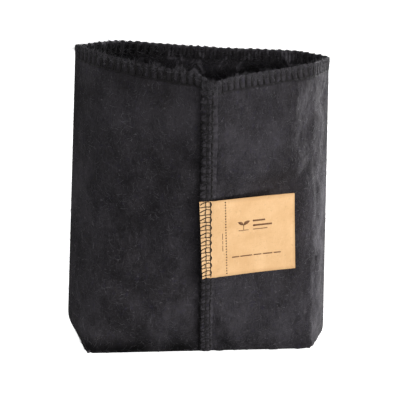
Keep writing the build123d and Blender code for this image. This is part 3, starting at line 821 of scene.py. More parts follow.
# ---------------------------------------------------------------- felt shells
def rim_relief(half):
    """Push outwards and lift of the face in the overlocked band at the rim."""
    shape = (half.columns, ROW_COUNT)
    phase = half.rim / half.pitch
    groove = bell(from_stitch(phase, half.pitch), 0.75)[:, None]
    puff = (0.5 - 0.5 * np.cos(2 * np.pi * phase))[:, None]
    depth = half.depth
    uneven = 1 + 0.25 * noise(shape, 9, half.seed + 5)
    push = (1 - ease(depth, *RIM_BAND)) * (0.62 * puff * uneven - 0.55 * groove)
    # a groove and a soft ridge below the needle line, and a rounded edge
    push = push - 0.5 * bell(depth - 8.5, 0.8) + 0.25 * bell(depth - 10.5, 1.2)
    push = push - 0.35 * bell(depth, 1.0)
    lift = 0.45 * puff - 0.55 * groove + 0.16 * noise(shape, 3, half.seed + 6)
    return push, lift * np.exp(-depth / 1.6)


def felt_tone(half, ring, depth, inside, cloud, seed):
    """Random tone; painted shade low down, inside on the left and in stitch grooves; painted light low on
    the right face and on the rim's top edge.
    """
    x, z = ring[..., 0], ring[..., 2]
    outside = 1 - inside
    tone = 0.5 + cloud * noise(x.shape, 34, seed + 8)
    # painted shade: the outer face darker low down, most on the left
    left = np.clip(0.62 - 0.38 * np.tanh(x / 20.0), 0, 1)
    tone -= 0.62 * left * (1 - ease(z, 2, 15)) * outside
    # painted shade: the inner face darker towards the left
    tone -= 0.46 * inside * ease(-x, 5, 45)
    # painted light: the right face lighter low down
    tone += (0.10 * outside * (1 - ease(z, 35, 150)) * ease(x, 4, 14)
             * (1 - ease(x, 70, 80)) * ease(z, 6, 22))
    tone += 0.06 * noise(x.shape, 14, seed + 9) * outside
    # painted highlight: paler along the rim's top edge
    tone += 0.34 * np.exp(-depth)
    # painted shade in the stitch grooves of the rim band
    groove = bell(from_stitch(half.rim / half.pitch, half.pitch), 0.7)[:, None]
    tone -= 0.46 * groove * (1 - ease(depth, *RIM_BAND)) * ease(depth, 0.5, 1.5)
    # painted shade along the needle-line groove
    tone -= 0.24 * bell(depth - 8.6, 0.7) * outside
    return tone


def zipper(a, b, za, zb):
    """Triangles between two index runs ordered by za and zb."""
    tris, i, j = [], 0, 0
    while i < len(a) - 1 or j < len(b) - 1:
        if j == len(b) - 1 or (i < len(a) - 1 and za[i + 1] <= zb[j + 1]):
            tris.append((a[i], a[i + 1], b[j]))
            i += 1
        else:
            tris.append((a[i], b[j + 1], b[j]))
            j += 1
    return tris


def felt_piece(half, name, replaces, inner_step, inner_fine, cloud, seed):
    """Closed felt shell of one half, with rim relief and fibre relief.  The inner
    face keeps every inner_step-th row, and all of the top inner_fine rows."""
    shape = (half.columns, ROW_COUNT)
    push, lift = rim_relief(half)
    off_fold = half.edge_mask(1.6)
    calm = 0.55 + 0.45 * ease(half.depth, 9, 12)
    fine = (0.085 * noise(shape, 2.6, seed) + 0.10 * noise(shape, 6, seed + 1)
            + 0.12 * noise(shape, 13, seed + 2))
    outer = half.points + half.normal * ((push + fine * calm) * off_fold)[..., None]
    outer[..., 2] += lift * off_fold
    outer[..., 2] = np.maximum(outer[..., 2], 0.0)
    # inner face
    thick = FELT - 0.75 * np.exp(-half.depth / 1.3)
    fine = 0.16 * noise(shape, 5, seed + 4) + 0.20 * noise(shape, 11, seed + 5)
    inner = half.points - half.normal * thick[..., None]
    inner = inner - half.normal * ((0.22 * push + fine * calm) * off_fold)[..., None]
    inner[..., 2] += lift * off_fold * 0.8
    first_fine = ROW_COUNT - inner_fine
    rows = list(range(0, first_fine, inner_step)) + list(range(first_fine, ROW_COUNT))
    inner = inner[:, rows]
    # crown of the rim, between the two faces
    up = np.array([0, 0, 0.42])
    crown = [(outer[:, -1] * t + inner[:, -1] * (1 - t) + up)[:, None] for t in (0.7, 0.3)]
    ring = np.concatenate([outer, *crown, inner[:, ::-1]], axis=1)
    count = ring.shape[1]
    index = np.arange(half.columns * count).reshape(half.columns, count)
    faces = cells(np.concatenate([index, index[:, :1]], 1)).tolist()
    # UV: outer face in the lower part of the square, the rest above it
    inner_v = ROWS[rows]
    span = inner_v[-1] - inner_v[0]
    v = np.concatenate([ROWS * 0.60, [0.615, 0.63],
                        0.645 + 0.335 * (inner_v[-1] - inner_v[::-1]) / span, [0.985]])
    uvs = cells(uv_grid((half.rim / half.length)[:, None], v)).tolist()
    # close the two fold ends
    outer_count = ROW_COUNT + 1
    for column, turn in ((0, 1), (half.columns - 1, -1)):
        run, z = index[column].tolist(), ring[column, :, 2]
        tris = zipper(run[:outer_count], run[outer_count:][::-1], z[:outer_count],
                      z[outer_count:][::-1])
        faces += [tri[::turn] for tri in tris]
        uvs += [((0.001, 0.992), (0.002, 0.992), (0.002, 0.996))] * len(tris)
    inside = np.concatenate([np.zeros(ROW_COUNT), [0.3, 0.7], np.ones(len(rows))])
    depth = np.concatenate([half.depth, np.zeros((half.columns, 2)),
                            half.depth[:, rows][:, ::-1]], axis=1)
    tone = felt_tone(half, ring, depth, inside, cloud, seed)
    piece = Piece()
    piece.add(ring.reshape(-1, 3), faces, uvs, inside=np.tile(inside, half.columns),
              tone=tone.reshape(-1))
    half.outer, half.inner = outer, inner
    return piece.make(name, FELT_MAT, sharp=62, replaces=replaces)


# The side folds stay on the base in both halves, so that they never part;
# from the front and back creases on, the felt follows the walls.
def bend_front(ob):
    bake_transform(ob, BASE, FRONT, start=(0, -3.5 * MM, 0), end=(0, -27.0 * MM, 0))


def bend_back(ob):
    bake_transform(ob, BASE, BACK, start=(0, 11.5 * MM, 0), end=(0, 26.93 * MM, 1.03 * MM))


bend_front(felt_piece(front, "felt_front_half",
                      ("front_left_wall", "front_right_wall", "left_gusset", "right_gusset"),
                      inner_step=4, inner_fine=24, cloud=0.075, seed=101))
bend_back(felt_piece(back, "felt_back_half", ("back_wall",),
                     inner_step=3, inner_fine=70, cloud=0.04, seed=211))


# =====================================================================
# Base, closed by a seam from side to side, its allowances standing inside
# =====================================================================
BASE_X, BASE_Y = 79.2, 26.0              # half sizes of the pressed base
BASE_SEAM_X = 69.0                       # half length of the base seam
CORNER_X, CORNER_SEAM_Y = 75.6, 23.0     # corner seams: place, half length


def base_piece():
    x, y = np.meshgrid(np.linspace(-BASE_X, BASE_X, 140),
                       np.concatenate([np.linspace(-BASE_Y, -0.6, 24), [0.0],
                                       np.linspace(0.6, BASE_Y, 24)]), indexing="ij")
    relief = 0.12 * noise(x.shape, 4, 301) + 0.15 * noise(x.shape, 14, 302)
    edge = np.minimum(BASE_X - np.abs(x), BASE_Y - np.abs(y))
    pull = bell(from_stitch(x / STITCH, STITCH), 0.7)
    # underside: grooves along the base seam and near both ends
    under = (0.02 + 1.1 * np.exp(-(np.abs(y) / 0.7) ** 1.5)
             + 0.25 * pull * np.exp(-np.abs(y) / 2.0)
             + 0.18 * (0.5 + 0.5 * relief) * ease(edge, 0, 2)
             + 0.9 * bell(BASE_X - 2.2 - np.abs(x), 0.8))
    over = 2.1 + relief * 1.2 + 0.4 * np.exp(-np.abs(y) / 3.0)
    # the right side fold runs down to the floor and draws the base out to it
    drawn_x = x + 10.0 * (1 - np.abs(y) / HALF_DEPTH) * ease(x, 50, BASE_X)
    index = np.arange(x.size).reshape(x.shape)
    u, v = (x / BASE_X + 1) / 2, (y / BASE_Y + 1) / 2
    piece = Piece()
    # the underside's tone 0.44 is painted shade, a little darker than the inner face
    for z, turn, v0, inside, tone in ((under, -1, 0.0, 0.0, 0.44), (over, 1, 0.36, 1.0, 0.5)):
        piece.add(np.stack([drawn_x, y, z], -1).reshape(-1, 3),
                  cells(index)[:, ::turn].tolist(),
                  cells(uv_grid(u, v0 + 0.33 * v))[:, ::turn].tolist(),
                  inside=inside, tone=tone)
    # edge of the plate
    loop = np.concatenate([index[:, 0], index[-1, 1:], index[-2::-1, -1],
                           index[0, -2:0:-1]]).tolist()
    for i, a in enumerate(loop):
        b = loop[(i + 1) % len(loop)]
        u0, u1 = i / len(loop), (i + 1) / len(loop)
        piece.faces.append((a, b, b + x.size, a + x.size))
        piece.uvs.append(((u0, 0.71), (u1, 0.71), (u1, 0.73), (u0, 0.73)))
    ob = piece.make("felt_base", FELT_MAT, sharp=60, replaces=("base_panel",))
    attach(ob, BASE)


def on_base_seam(place, across, z):
    """Along the base seam from the left; across is towards the back."""
    return np.stack([-BASE_SEAM_X + place, across, z], -1)


def on_corner_seam(side):
    """Along a corner seam from the front; across is outwards, side is -1 for left."""
    return lambda place, across, z: np.stack([side * (CORNER_X + across),
                                              -CORNER_SEAM_Y + place, z], -1)


def upright_fin(seam, length, width, foot, seed, stitches):
    """Seam allowance: two pressed layers, rounded raw edge, pinched at each stitch."""
    half_thick = 1.5
    # shares of half thickness and of width, up one side; foot goes 1 mm down
    side = [(1, 0.3), (1.08, 0.62), (0.9, 0.9), (0.35, 1.0)]
    outline = [(-half_thick * 1.05, -1.0)]
    outline += [(-half_thick * t, width * w) for t, w in side] + [(0, width * 0.94)]
    outline += [(half_thick * t, width * w) for t, w in side[::-1]]
    outline += [(half_thick * 1.05, -1.0)]
    profile = catmull([(x, y, 0) for x, y in outline], 0.7)
    across, up = profile[:, 0], profile[:, 1]
    count = int(length / 0.85)
    place = np.linspace(0, length, count)
    pinch = bell(from_stitch(place / length * stitches, length / stitches), 0.8)[:, None]
    relief = noise((count, len(profile)), 5, seed) * 0.12
    across = across * (1 - 0.22 * pinch) * (1 + 0.06 * relief)
    up = np.where(up > width * 0.8, up - 0.5 * pinch, up) + relief
    return seam(np.broadcast_to(place[:, None], up.shape), across, foot + up)


def base_allowances():
    piece = Piece()
    add_bar(piece, upright_fin(on_base_seam, 2 * BASE_SEAM_X, width=8.2, foot=2.2, seed=311,
                               stitches=26), (0, 0.0, 1, 0.3), inside=1.0)
    for side, seed, v0 in ((-1, 312, 0.33), (1, 314, 0.56)):
        add_bar(piece, upright_fin(on_corner_seam(side), 2 * CORNER_SEAM_Y, width=7.6, foot=1.6,
                                   seed=seed, stitches=8), (0, v0, 0.4, v0 + 0.2), inside=1.0)
    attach(piece.make("felt_base_allowances", FELT_MAT, sharp=60), BASE)


base_piece()
base_allowances()


# =====================================================================
# Front seam allowance, folded flat to the left
# =====================================================================
# height of the folded allowance above the left face, by distance from the root
FIN_ACROSS = [-1.6, -0.4, 0.5, 1.2, 1.8, 2.8, 3.8, 4.9, 6.2, 7.6, 8.5, 8.9, 9.2]
FIN_OUT = [0.0, 0.35, 1.1, 1.9, 2.05, 2.95, 3.15, 2.75, 3.2, 3.15, 2.5, 1.5, 0.0]

# outline of the allowance: (across, out) on the right face, then on the left
FIN_RIGHT = [(2.8, -1.0), (1.4, -0.15), (0.4, 0.4)]
FIN_LEFT = [
    (0.5, 1.15), (1.2, 1.85), (1.75, 1.95), (2.3, 2.55), (3.0, 3.05), (3.8, 3.15), (4.5, 2.85),
    (4.95, 2.7), (5.5, 3.0), (6.4, 3.25), (7.5, 3.2), (8.3, 2.85), (8.8, 2.2), (8.45, 1.7),
    (8.75, 1.15), (8.5, 0.4), (7.6, -0.1), (5.0, -1.3), (1.0, -2.2)]
FIN_SIDES = 46


def seam_stitches():
    """Where the needle went down along the front seam: looser towards the rim."""
    places = [3 * STITCH / 5]
    while places[-1] < SEAM_LEN:
        places.append(places[-1] + float(np.interp(places[-1], [0, 50, 62, 116, 128, 200],
                                                   [5.2, 5.3, 5.75, 5.75, 6.1, 6.2])))
    return np.array(places)


NEEDLE_DOWN = seam_stitches()


def fin_height(across):
    return np.interp(across, FIN_ACROSS, FIN_OUT)


def fin_lift(place, across):
    """The folded allowance springs away from the left face, most at its edge."""
    held = ease(place, 42, 60) * (1 - ease(place, 116, 134))     # the card holds it out
    lift = ((0.18 + 0.21 * held) * np.maximum(across - 0.8, 0)
            + 0.85 * held * ease(across, 0.2, 2.6))
    return lift * ease(place, 2, 25) * (1 - ease(place, 176, 197))


def seam_fin():
    place = np.concatenate([np.arange(1.2, 193.0, 0.8), np.arange(193.0, SEAM_LEN + 0.01, 0.6)])
    share = place / SEAM_LEN
    squeeze = 1 - 0.42 * (1 - ease(SEAM_LEN - place, 1.0, 9.0))
    phase = np.interp(place, NEEDLE_DOWN, np.arange(len(NEEDLE_DOWN)))
    pinch = bell(from_stitch(phase, STITCH), 0.85)
    puff = 0.5 - 0.5 * np.cos(2 * np.pi * phase)
    wave = noise((len(place), 4), 26, 401)[:, 0] * 0.28
    lines = [on_right(share, across, out * squeeze if out > 0 else out)
             for across, out in FIN_RIGHT]
    for across, out in FIN_LEFT:
        edge = ease(across, 5.0, 8.0)
        across = across + edge * (0.22 * puff - 0.5 * pinch + wave)
        if out > 0:
            out = out * (1 + edge * (0.10 * puff - 0.30 * pinch)) * squeeze
        lines.append(on_left(share, across, out + fin_lift(place, across)))
    outlines = np.stack(lines, 1)
    outlines[..., 2] -= (1.3 * ease(place, SEAM_LEN - 22, SEAM_LEN))[:, None]
    rings = np.stack([smooth_ring(outline, FIN_SIDES) for outline in outlines])
    shape = rings.shape[:2]
    relief = noise(shape, 3.0, 402) * 0.08 + noise(shape, 9, 403) * 0.10
    centre = rings.mean(axis=1, keepdims=True)
    rings = rings + unit(rings - centre) * relief[..., None]
    rings[..., 2] = np.maximum(rings[..., 2], 0.15)
    # tone: the allowance paler than the walls, with painted shade where each stitch pinches it
    tone = 0.66 - 0.26 * pinch[:, None] + 0.06 * noise(shape, 7, 405)
    piece = Piece()
    add_bar(piece, rings, (0, 0, 1, 0.95), tone=tone.reshape(-1))
    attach(piece.make("felt_seam_allowance", FELT_MAT, sharp=75), FRONT)
    return rings


fin_rings = seam_fin()


# =====================================================================
# Where the card tag lies
# =====================================================================
# Card coordinates: across to the right of the bend, up along the seam
TAG_LOW = 58.8                 # seam place of its lower edge
TAG_H, TAG_T = 58.4, 0.4       # height, thickness
TAG_END = 57.5                 # free right edge, across
TAG_STUB = 8.4                 # perforation, across
TAG_BEND = -1.2                # the bend, left of the ridge
TAG_OUT = 4.4                  # out of the left face at the bend
TAG_FAR, TAG_FAR_OUT = 62.0, 9.0         # aims the flap: on the right face, and out of it
LEAN_COS, LEAN_SIN = math.cos(-0.025), math.sin(-0.025)
SEAM_PER_CARD = 0.9655         # seam place per card millimetre


def tag_frame():
    """Lower end of the bend, and the flap's directions up, right and out."""
    low = on_left(TAG_LOW / SEAM_LEN, TAG_BEND, TAG_OUT)[0]
    high = on_left((TAG_LOW + TAG_H) / SEAM_LEN, TAG_BEND, TAG_OUT)[0]
    up = unit(high - low)
    right = unit(on_right(TAG_LOW / SEAM_LEN, TAG_FAR, TAG_FAR_OUT)[0] - low)
    right = unit(right - up * up.dot(right))
    return low, up, right, unit(np.cross(right, up))


TAG_ORIGIN, TAG_UP, TAG_RIGHT, TAG_NORMAL = tag_frame()


def card_skew(across, up):
    """The card was sewn in a little askew: shift along the seam."""
    stations = [-9.7, -3.0, 3.0, 57.5]
    low = np.interp(across, stations, [0.8, 1.4, 1.6, -0.9])
    high = np.interp(across, stations, [2.6, 3.2, 3.5, -0.2])
    return low + (high - low) * up / TAG_H


def card_at(right, up, out, warp=0.0):
    """Points right of the bend, up along the seam and out of the card as it lies."""
    share = (TAG_LOW + up * SEAM_PER_CARD) / SEAM_LEN
    on_fin = on_left(share, TAG_BEND - right, 4.42 - 0.36 * right + out)
    on_flap = (TAG_ORIGIN + TAG_UP * up[:, None] + TAG_RIGHT * right[:, None]
               + TAG_NORMAL * (out + warp)[:, None])
    part = ease(right, -2.4, 0.8)[:, None]
    return on_fin * (1 - part) + on_flap * part


def card_map(points, out):
    """Flat card points (across, up) laid in place, `out` through the thickness."""
    across, up = points[:, 0], points[:, 1]
    t = np.clip((across - TAG_STUB) / (TAG_END - TAG_STUB), 0, 1)
    warp = (-0.9 * np.sin(t * np.pi) * 0.5
            + 0.7 * t * t * np.cos(up / TAG_H * np.pi + 0.4))
    up = up + card_skew(across, up)
    return card_at(across * LEAN_COS + up * LEAN_SIN, up * LEAN_COS - across * LEAN_SIN,
                   np.full(len(points), out), warp)


def thread_height(place, across):
    """Height of the seam's outer face: the felt's, or the card's."""
    felt = fin_height(across) + fin_lift(place, across)
    right = TAG_BEND - across
    up = (place - TAG_LOW) / SEAM_PER_CARD
    points = card_at(right, up, np.full(len(place), TAG_T))
    _, ridge, _, normal, _ = front_frames(place / SEAM_LEN)
    card = ((points - ridge) * normal).sum(1)
    up = up * LEAN_COS + right * LEAN_SIN
    low, high = card_skew(right, 0), TAG_H + card_skew(right, TAG_H)
    covered = ease(up - low, -0.9, 0.3) * (1 - ease(up - high, -0.3, 0.9))
    return (felt + 0.10) * (1 - covered) + np.maximum(card, felt) * covered


# =====================================================================
# Stitching
# =====================================================================
THREAD_R = 0.28


def wobble(path, seed):
    shake = np.random.default_rng(seed).standard_normal((len(path), 3))
    return path + blur(shake, 2.0, 0) * 2.2 * 0.05


# --- front seam, four threads
FREE = True                    # marks a point whose height is over the left face itself


def seam_path(points):
    """points: (place, across, height over the outer face), or with FREE last."""
    place, across, out = (np.array([p[i] for p in points], float) for i in range(3))
    free = np.array([len(p) > 3 for p in points])
    out = np.where(free, out + fin_lift(place, across), thread_height(place, across) + out)
    return on_left(place / SEAM_LEN, across, out)


def seam_threads():
    count = int(np.sum(NEEDLE_DOWN < SEAM_LEN - FIN_WIDTH - 3.0))
    shifts = np.random.default_rng(5).normal(0, 0.16, (count + 1, 4))
    inner, outer, upper, lower = [], [], [], []
    for i in range(count):
        down = NEEDLE_DOWN[i]
        wide = (NEEDLE_DOWN[i + 1] - down) / 5.3           # spread of this stitch
        j0, j1, j2, j3 = shifts[i]
        inner += [(down - 0.35, 1.8 + j0 * 0.5, -0.05),
                  (down + wide * 1.6, 1.75 + j0 * 0.5, 0.22),
                  (down + wide * 3.7, 1.8 + j1 * 0.5, 0.2)]
        outer += [(down - 0.2, 4.85 + j1 * 0.5, -0.05),
                  (down + wide * 1.6, 4.9 + j2 * 0.5, 0.27),
                  (down + wide * 3.8, 4.8 + j2 * 0.5, 0.24)]
        # from the raw edge up to the root, a round loop, and slanting back
        upper += [(down + wide * 0.3 + j0, 8.5, 0.26), (down + wide * 0.6 + j0, 6.8, 0.27),
                  (down + wide * 1.15 + j1, 4.9, 0.5), (down + wide * 1.15 + j1, 3.2, 0.36),
                  (down + wide * 1.45 + j1, 1.75, 0.5), (down + wide * 2.75 + j2, 1.1, 0.4),
                  (down + wide * 4.05 + j2, 1.7, 0.5), (down + wide * 4.35 + j2, 3.2, 0.36),
                  (down + wide * 4.2 + j3, 4.9, 0.5), (down + wide * 3.2 + j3, 6.9, 0.27),
                  (down + wide * 2.2 + j3, 8.4, 0.26), (down + wide * 2.1, 9.1, 2.0, FREE),
                  (down + wide * 3.4, 9.2, 1.3, FREE), (down + wide * 4.9, 9.15, 1.6, FREE)]
        # along the raw edge, dipping under it
        lower += [(down + wide * at, across, out, FREE) for at, across, out in (
            (0.3, 9.05, 1.6), (0.9, 9.0, 1.0), (1.4, 8.3, 0.3),
            (3.0, 8.0, 0.2), (4.4, 8.4, 0.3), (4.9, 8.95, 1.0))]
    # name, points, step along the path, wobble seed, radius share
    for tail, points, step, seed, radius in (
            ("inner_needle", inner, 0.7, 61, 1.05), ("outer_needle", outer, 0.7, 62, 0.85),
            ("upper_looper", upper, 0.6, 63, 1.02), ("lower_looper", lower, 0.6, 64, 0.95)):
        path = wobble(catmull(seam_path(points), step), seed)
        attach(thread(f"seam_thread_{tail}", path, THREAD_R * radius, THREAD_MAT,
                       (f"front_seam_{tail}_thread",)), FRONT)


# --- rim, three threads on each half
def rim_path(half, points, step):
    """points: (place along the rim, depth, out); climbs over the front seam's fin."""
    place, depth, out = np.array(points, float).T
    place = np.clip(place, 0.02, half.length - 0.02)
    if half is front:
        climb = fin_height(half.rim[half.starts[2]] - place) * 0.62
        # full climb outside, half over the edge, none on the inner face
        out = out + climb * np.where(out > -0.9, 1.0, np.where(out > -1.5, 0.5, 0.0))
    return catmull(half.at(place, depth, out), step)


def rim_threads(half, side, node_prefixes, bend, seed):
    count, pitch = half.stitches, half.pitch
    shifts = np.random.default_rng(seed).normal(0, 0.17, (count + 1, 4))
    needle, upper, lower = [], [], []
    for i in range(count):
        start = i * pitch
        mid, end = start + pitch * 0.5, start + pitch
        j0, j1, j2, j3 = shifts[i]
        needle += [(start + 0.1, 8.45 + j0 * 0.6, -0.25),
                   (start + pitch * 0.35, 8.5 + j1 * 0.6, 0.12),
                   (start + pitch * 0.7, 8.5 + j2 * 0.6, 0.1)]
        # legs come together at the edge, spread at the needle line
        upper += [(start + 0.12, -0.35, -1.0), (start + 0.2 + j0 * 0.5, 0.1, 0.16),
                  (start + 0.3 + j1 * 0.5, 1.6, 0.2), (start + 0.42 + j1, 5.0, 0.12),
                  (start + 0.75 + j2, 7.7, 0.14), (start + pitch * 0.32, 8.75, 0.2),
                  (start + pitch * 0.68, 8.75, 0.2), (end - 0.75 + j3, 7.7, 0.14),
                  (end - 0.42 + j2, 5.0, 0.12), (end - 0.3 + j1 * 0.5, 1.6, 0.2),
                  (end - 0.2, 0.1, 0.16)]
        if i < count - 1:
            lower += [(mid - 0.25, -0.4, -1.0), (mid - 0.1, 0.2, -2.25),
                      (mid + 0.1 + j0, 4.0, -2.35), (start + pitch * 0.62, 7.3, -2.35),
                      (start + pitch * 0.9, 8.3, -2.4), (start + pitch * 1.2, 8.3, -2.4),
                      (start + pitch * 1.38, 7.3, -2.35),
                      (start + pitch * 1.45 + j1, 4.0, -2.35),
                      (start + pitch * 1.48, 0.2, -2.25)]
    # name, points, radius, step along the path, material
    for tail, points, radius, step, material in (
            ("needle", needle, 0.27, 0.75, THREAD_MAT),
            ("upper_looper", upper, THREAD_R, 0.62, THREAD_MAT),
            ("lower_looper", lower, THREAD_R, 0.7, SHADE_THREAD_MAT)):
        path = wobble(rim_path(half, points, step), seed + 3)
        bend(thread(f"rim_thread_{side}_{tail}", path, radius, material,
                    [f"{prefix}_rim_{tail}_thread" for prefix in node_prefixes]))


# --- base and corner seams, inside the bag
def inside_seam(name, seam, length, top, low, seed):
    """top is the allowance's raw edge and low the needle line, as heights z."""
    count = int(round(length / STITCH))
    pitch = length / count
    side = 1.8                                   # needle thread, off the seam's middle
    shifts = np.random.default_rng(seed).normal(0, 0.12, (count + 1, 2))
    needle, upper, lower = [], [], []
    for i in range(count):
        start = i * pitch
        needle += [(start, side, low),
                   (start + pitch * 0.5, side + 0.25, low + shifts[i, 0] * 0.5)]
        for points, sign in ((upper, 1), (lower, -1)):
            points += [(start + 0.1, 0.0, top + 0.35),
                       (start + 0.25, sign * (side + 0.1), top - 0.9),
                       (start + 0.5 + shifts[i, 1], sign * (side + 0.15), top - 4.5),
                       (start + pitch * 0.3, sign * (side + 0.2), low + 0.3),
                       (start + pitch * 0.7, sign * (side + 0.2), low + 0.3),
                       (start + pitch - 0.5, sign * (side + 0.15), top - 4.5),
                       (start + pitch - 0.2, sign * (side + 0.1), top - 0.9)]
    for points, tail in ((needle, "needle"), (upper, "upper_looper"), (lower, "lower_looper")):
        place, across, z = np.array(points, float).T
        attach(thread(f"{name}_{tail}", catmull(seam(place, -across, z), 0.8), 0.35,
                       SHADE_THREAD_MAT, (f"{name}_{tail}_thread",)), BASE)


seam_threads()
rim_threads(front, "front", ("front", "side"), bend_front, seed=71)
rim_threads(back, "back", ("back",), bend_back, seed=83)
inside_seam("base_seam", on_base_seam, 2 * BASE_SEAM_X, top=10.3, low=3.2, seed=91)
inside_seam("left_corner_seam", on_corner_seam(-1), 2 * CORNER_SEAM_Y, top=9.3, low=3.0, seed=94)
inside_seam("right_corner_seam", on_corner_seam(1), 2 * CORNER_SEAM_Y, top=9.3, low=3.0, seed=96)


# =====================================================================
# The card tag
# =====================================================================
def flat_polygon(outline, cuts_across, cuts_up):
    """Flat outline cut up and triangulated: points, triangles, border edges."""
    bm = bmesh.new()
    bm.faces.new([bm.verts.new((x, y, 0)) for x, y in outline])
    planes = [((cut, 0, 0), (1, 0, 0)) for cut in cuts_across]
    planes += [((0, cut, 0), (0, 1, 0)) for cut in cuts_up]
    for point, normal in planes:
        bmesh.ops.bisect_plane(bm, geom=bm.verts[:] + bm.edges[:] + bm.faces[:],
                               plane_co=point, plane_no=normal)
    bmesh.ops.triangulate(bm, faces=bm.faces[:])
    bm.verts.index_update()
    points = np.array([v.co[:2] for v in bm.verts], float)
    tris = []
    for face in bm.faces:
        tri = [v.index for v in face.verts]
        (ax, ay), (bx, by), (cx, cy) = points[tri]
        if (bx - ax) * (cy - ay) - (by - ay) * (cx - ax) < 0:
            tri = tri[::-1]
        tris.append(tri)
    bm.free()
    directed = [(tri[i], tri[(i + 1) % 3]) for tri in tris for i in range(3)]
    known = set(directed)
    return points, tris, [(a, b) for a, b in directed if (b, a) not in known]


def add_slab(piece, polygon, bottom, top, tone=0.0, u_range=(0, 1)):
    """Closed thin slab over a flat polygon, laid onto the card's surface."""
    points, tris, edges = polygon
    count = len(points)
    size = np.ptp(points, axis=0)
    share = (points - points.min(axis=0)) / size.max()
    u0, u1 = u_range
    face_uv = [(u0 + (u1 - u0) * x, 0.48 * y / share[:, 1].max()) for x, y in share]
    back_uv = [(u, v + 0.5) for u, v in face_uv]
    faces = [tuple(i + count for i in tri) for tri in tris] + [tri[::-1] for tri in tris]
    uvs = [[face_uv[i] for i in tri] for tri in tris]
    uvs += [[back_uv[i] for i in tri[::-1]] for tri in tris]
    for a, b in edges:
        faces.append((a, b, b + count, a + count))
        (ua, va), (ub, vb) = face_uv[a], face_uv[b]
        uvs.append(((ua, va), (ub, vb), (ub + 0.001, vb + 0.001), (ua + 0.001, va + 0.001)))
    verts = np.concatenate([card_map(points, bottom), card_map(points, top)])
    piece.add(verts, faces, uvs, tone=tone)


def card_part(name, outline, cuts_across, cuts_up, free_edge, node, body):
    """Part of the card; its lower, upper and free edges are worn."""
    polygon = flat_polygon(outline, cuts_across, cuts_up)
    x, y = polygon[0].T
    edge = np.minimum(np.minimum(y, TAG_H - y), free_edge - x)
    wear = np.exp(-np.maximum(edge, 0) / 0.5) * 0.7
    piece = Piece()
    add_slab(piece, polygon, 0.0, TAG_T, np.tile(wear, 2))
    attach(piece.make(name, CARD_MAT, sharp=40, replaces=(node,)), body)


def perforated(x, side, pitch=2.1, radius=0.52):
    """Points up a perforated edge: half holes cut towards `side`."""
    count = int(TAG_H / pitch)
    start = (TAG_H - (count - 1) * pitch) / 2
    return [(x + side * radius * math.cos(math.radians(angle)),
             start + i * pitch + radius * math.sin(math.radians(angle)))
            for i in range(count) for angle in np.linspace(-90, 90, 7)]


STUB_LEFT = -8.7
STUB_EDGE, FLAP_EDGE = TAG_STUB - 0.02, TAG_STUB + 0.02
CORNER = 0.4                   # cut off the flap's free corners
stub_outline = [(STUB_LEFT, 0.2), (STUB_EDGE, 0.0), *perforated(STUB_EDGE, -1),
                (STUB_EDGE, TAG_H), (STUB_LEFT, TAG_H - 0.1)]
flap_outline = [(FLAP_EDGE, 0.0), (TAG_END - CORNER, 0.0), (TAG_END, CORNER),
                (TAG_END, TAG_H - CORNER), (TAG_END - CORNER, TAG_H), (FLAP_EDGE, TAG_H),
                *perforated(FLAP_EDGE, 1)[::-1]]
card_part("tag_card_stub", stub_outline, np.arange(-9, 9, 0.8), np.arange(2.5, TAG_H, 3.0),
          free_edge=999, node="tag_stub", body=FRONT)
card_part("tag_card_flap", flap_outline, np.arange(TAG_STUB + 2.0, TAG_END, 2.5),
          np.arange(3, TAG_H, 4.0), free_edge=TAG_END, node="tag_flap", body=TAG)


# --- print on the card: a plain sprout and bars that stand for text
def leaf(x0, y0, length, width, degrees, count=14):
    angle = math.radians(degrees)
    shares = [i / (count - 1) for i in range(count)]
    points = [(t * length, width * math.sin(math.pi * t) ** 0.85 * (1 - 0.25 * t))
              for t in shares]
    points += [(t * length, -0.35 * width * math.sin(math.pi * t)) for t in shares[-2:0:-1]]
    return [(x0 + x * math.cos(angle) - y * math.sin(angle),
             y0 + x * math.sin(angle) + y * math.cos(angle)) for x, y in points]


def bar(x0, y0, x1, y1, cut=0.15):
    """Rectangle with its corners cut."""
    return [(x0 + cut, y0), (x1 - cut, y0), (x1, y0 + cut), (x1, y1 - cut), (x1 - cut, y1),
            (x0 + cut, y1), (x0, y1 - cut), (x0, y0 + cut)]


def print_piece(name, shapes, body):
    piece = Piece()
    for i, shape in enumerate(shapes):
        u0 = i / len(shapes)
        add_slab(piece, flat_polygon(shape, np.arange(-5, 70, 2.5), []),
                 TAG_T + 0.004, TAG_T + 0.035, u_range=(u0, u0 + 0.9 / len(shapes)))
    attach(piece.make(name, INK_MAT), body)


def tag_print():
    print_piece("tag_print_sprout", [
        leaf(21.0, 37.6, 5.6, 2.0, 34), leaf(21.0, 37.6, 5.0, -1.8, 147),
        bar(20.75, 34.2, 21.25, 38.2), bar(17.4, 33.6, 24.6, 34.1)], TAG)
    bars = [bar(27.6, 39.8, 36.4, 41.1), bar(27.6, 36.2, 41.2, 37.5), bar(27.6, 33.6, 38.0, 34.2)]
    x = 12.4
    for width in (5.0, 8.4, 5.6, 6.8, 5.0):      # a row of words, 1 mm apart
        bars.append(bar(x, 13.6, x + width, 14.5))
        x += width + 1.0
    print_piece("tag_print_bars", bars, TAG)
    upright = ((19.6, 4.4), (24.9, 2.6), (28.4, 4.8))        # low end, length
    print_piece("tag_print_stub_bars",
                [bar(5.7, y, 6.15, y + length, 0.08) for y, length in upright], FRONT)


tag_print()


# =====================================================================
# Loose fibres
# =====================================================================
FIBRE_R = (0.045, 0.085)
FIBRE_SEGS = 4


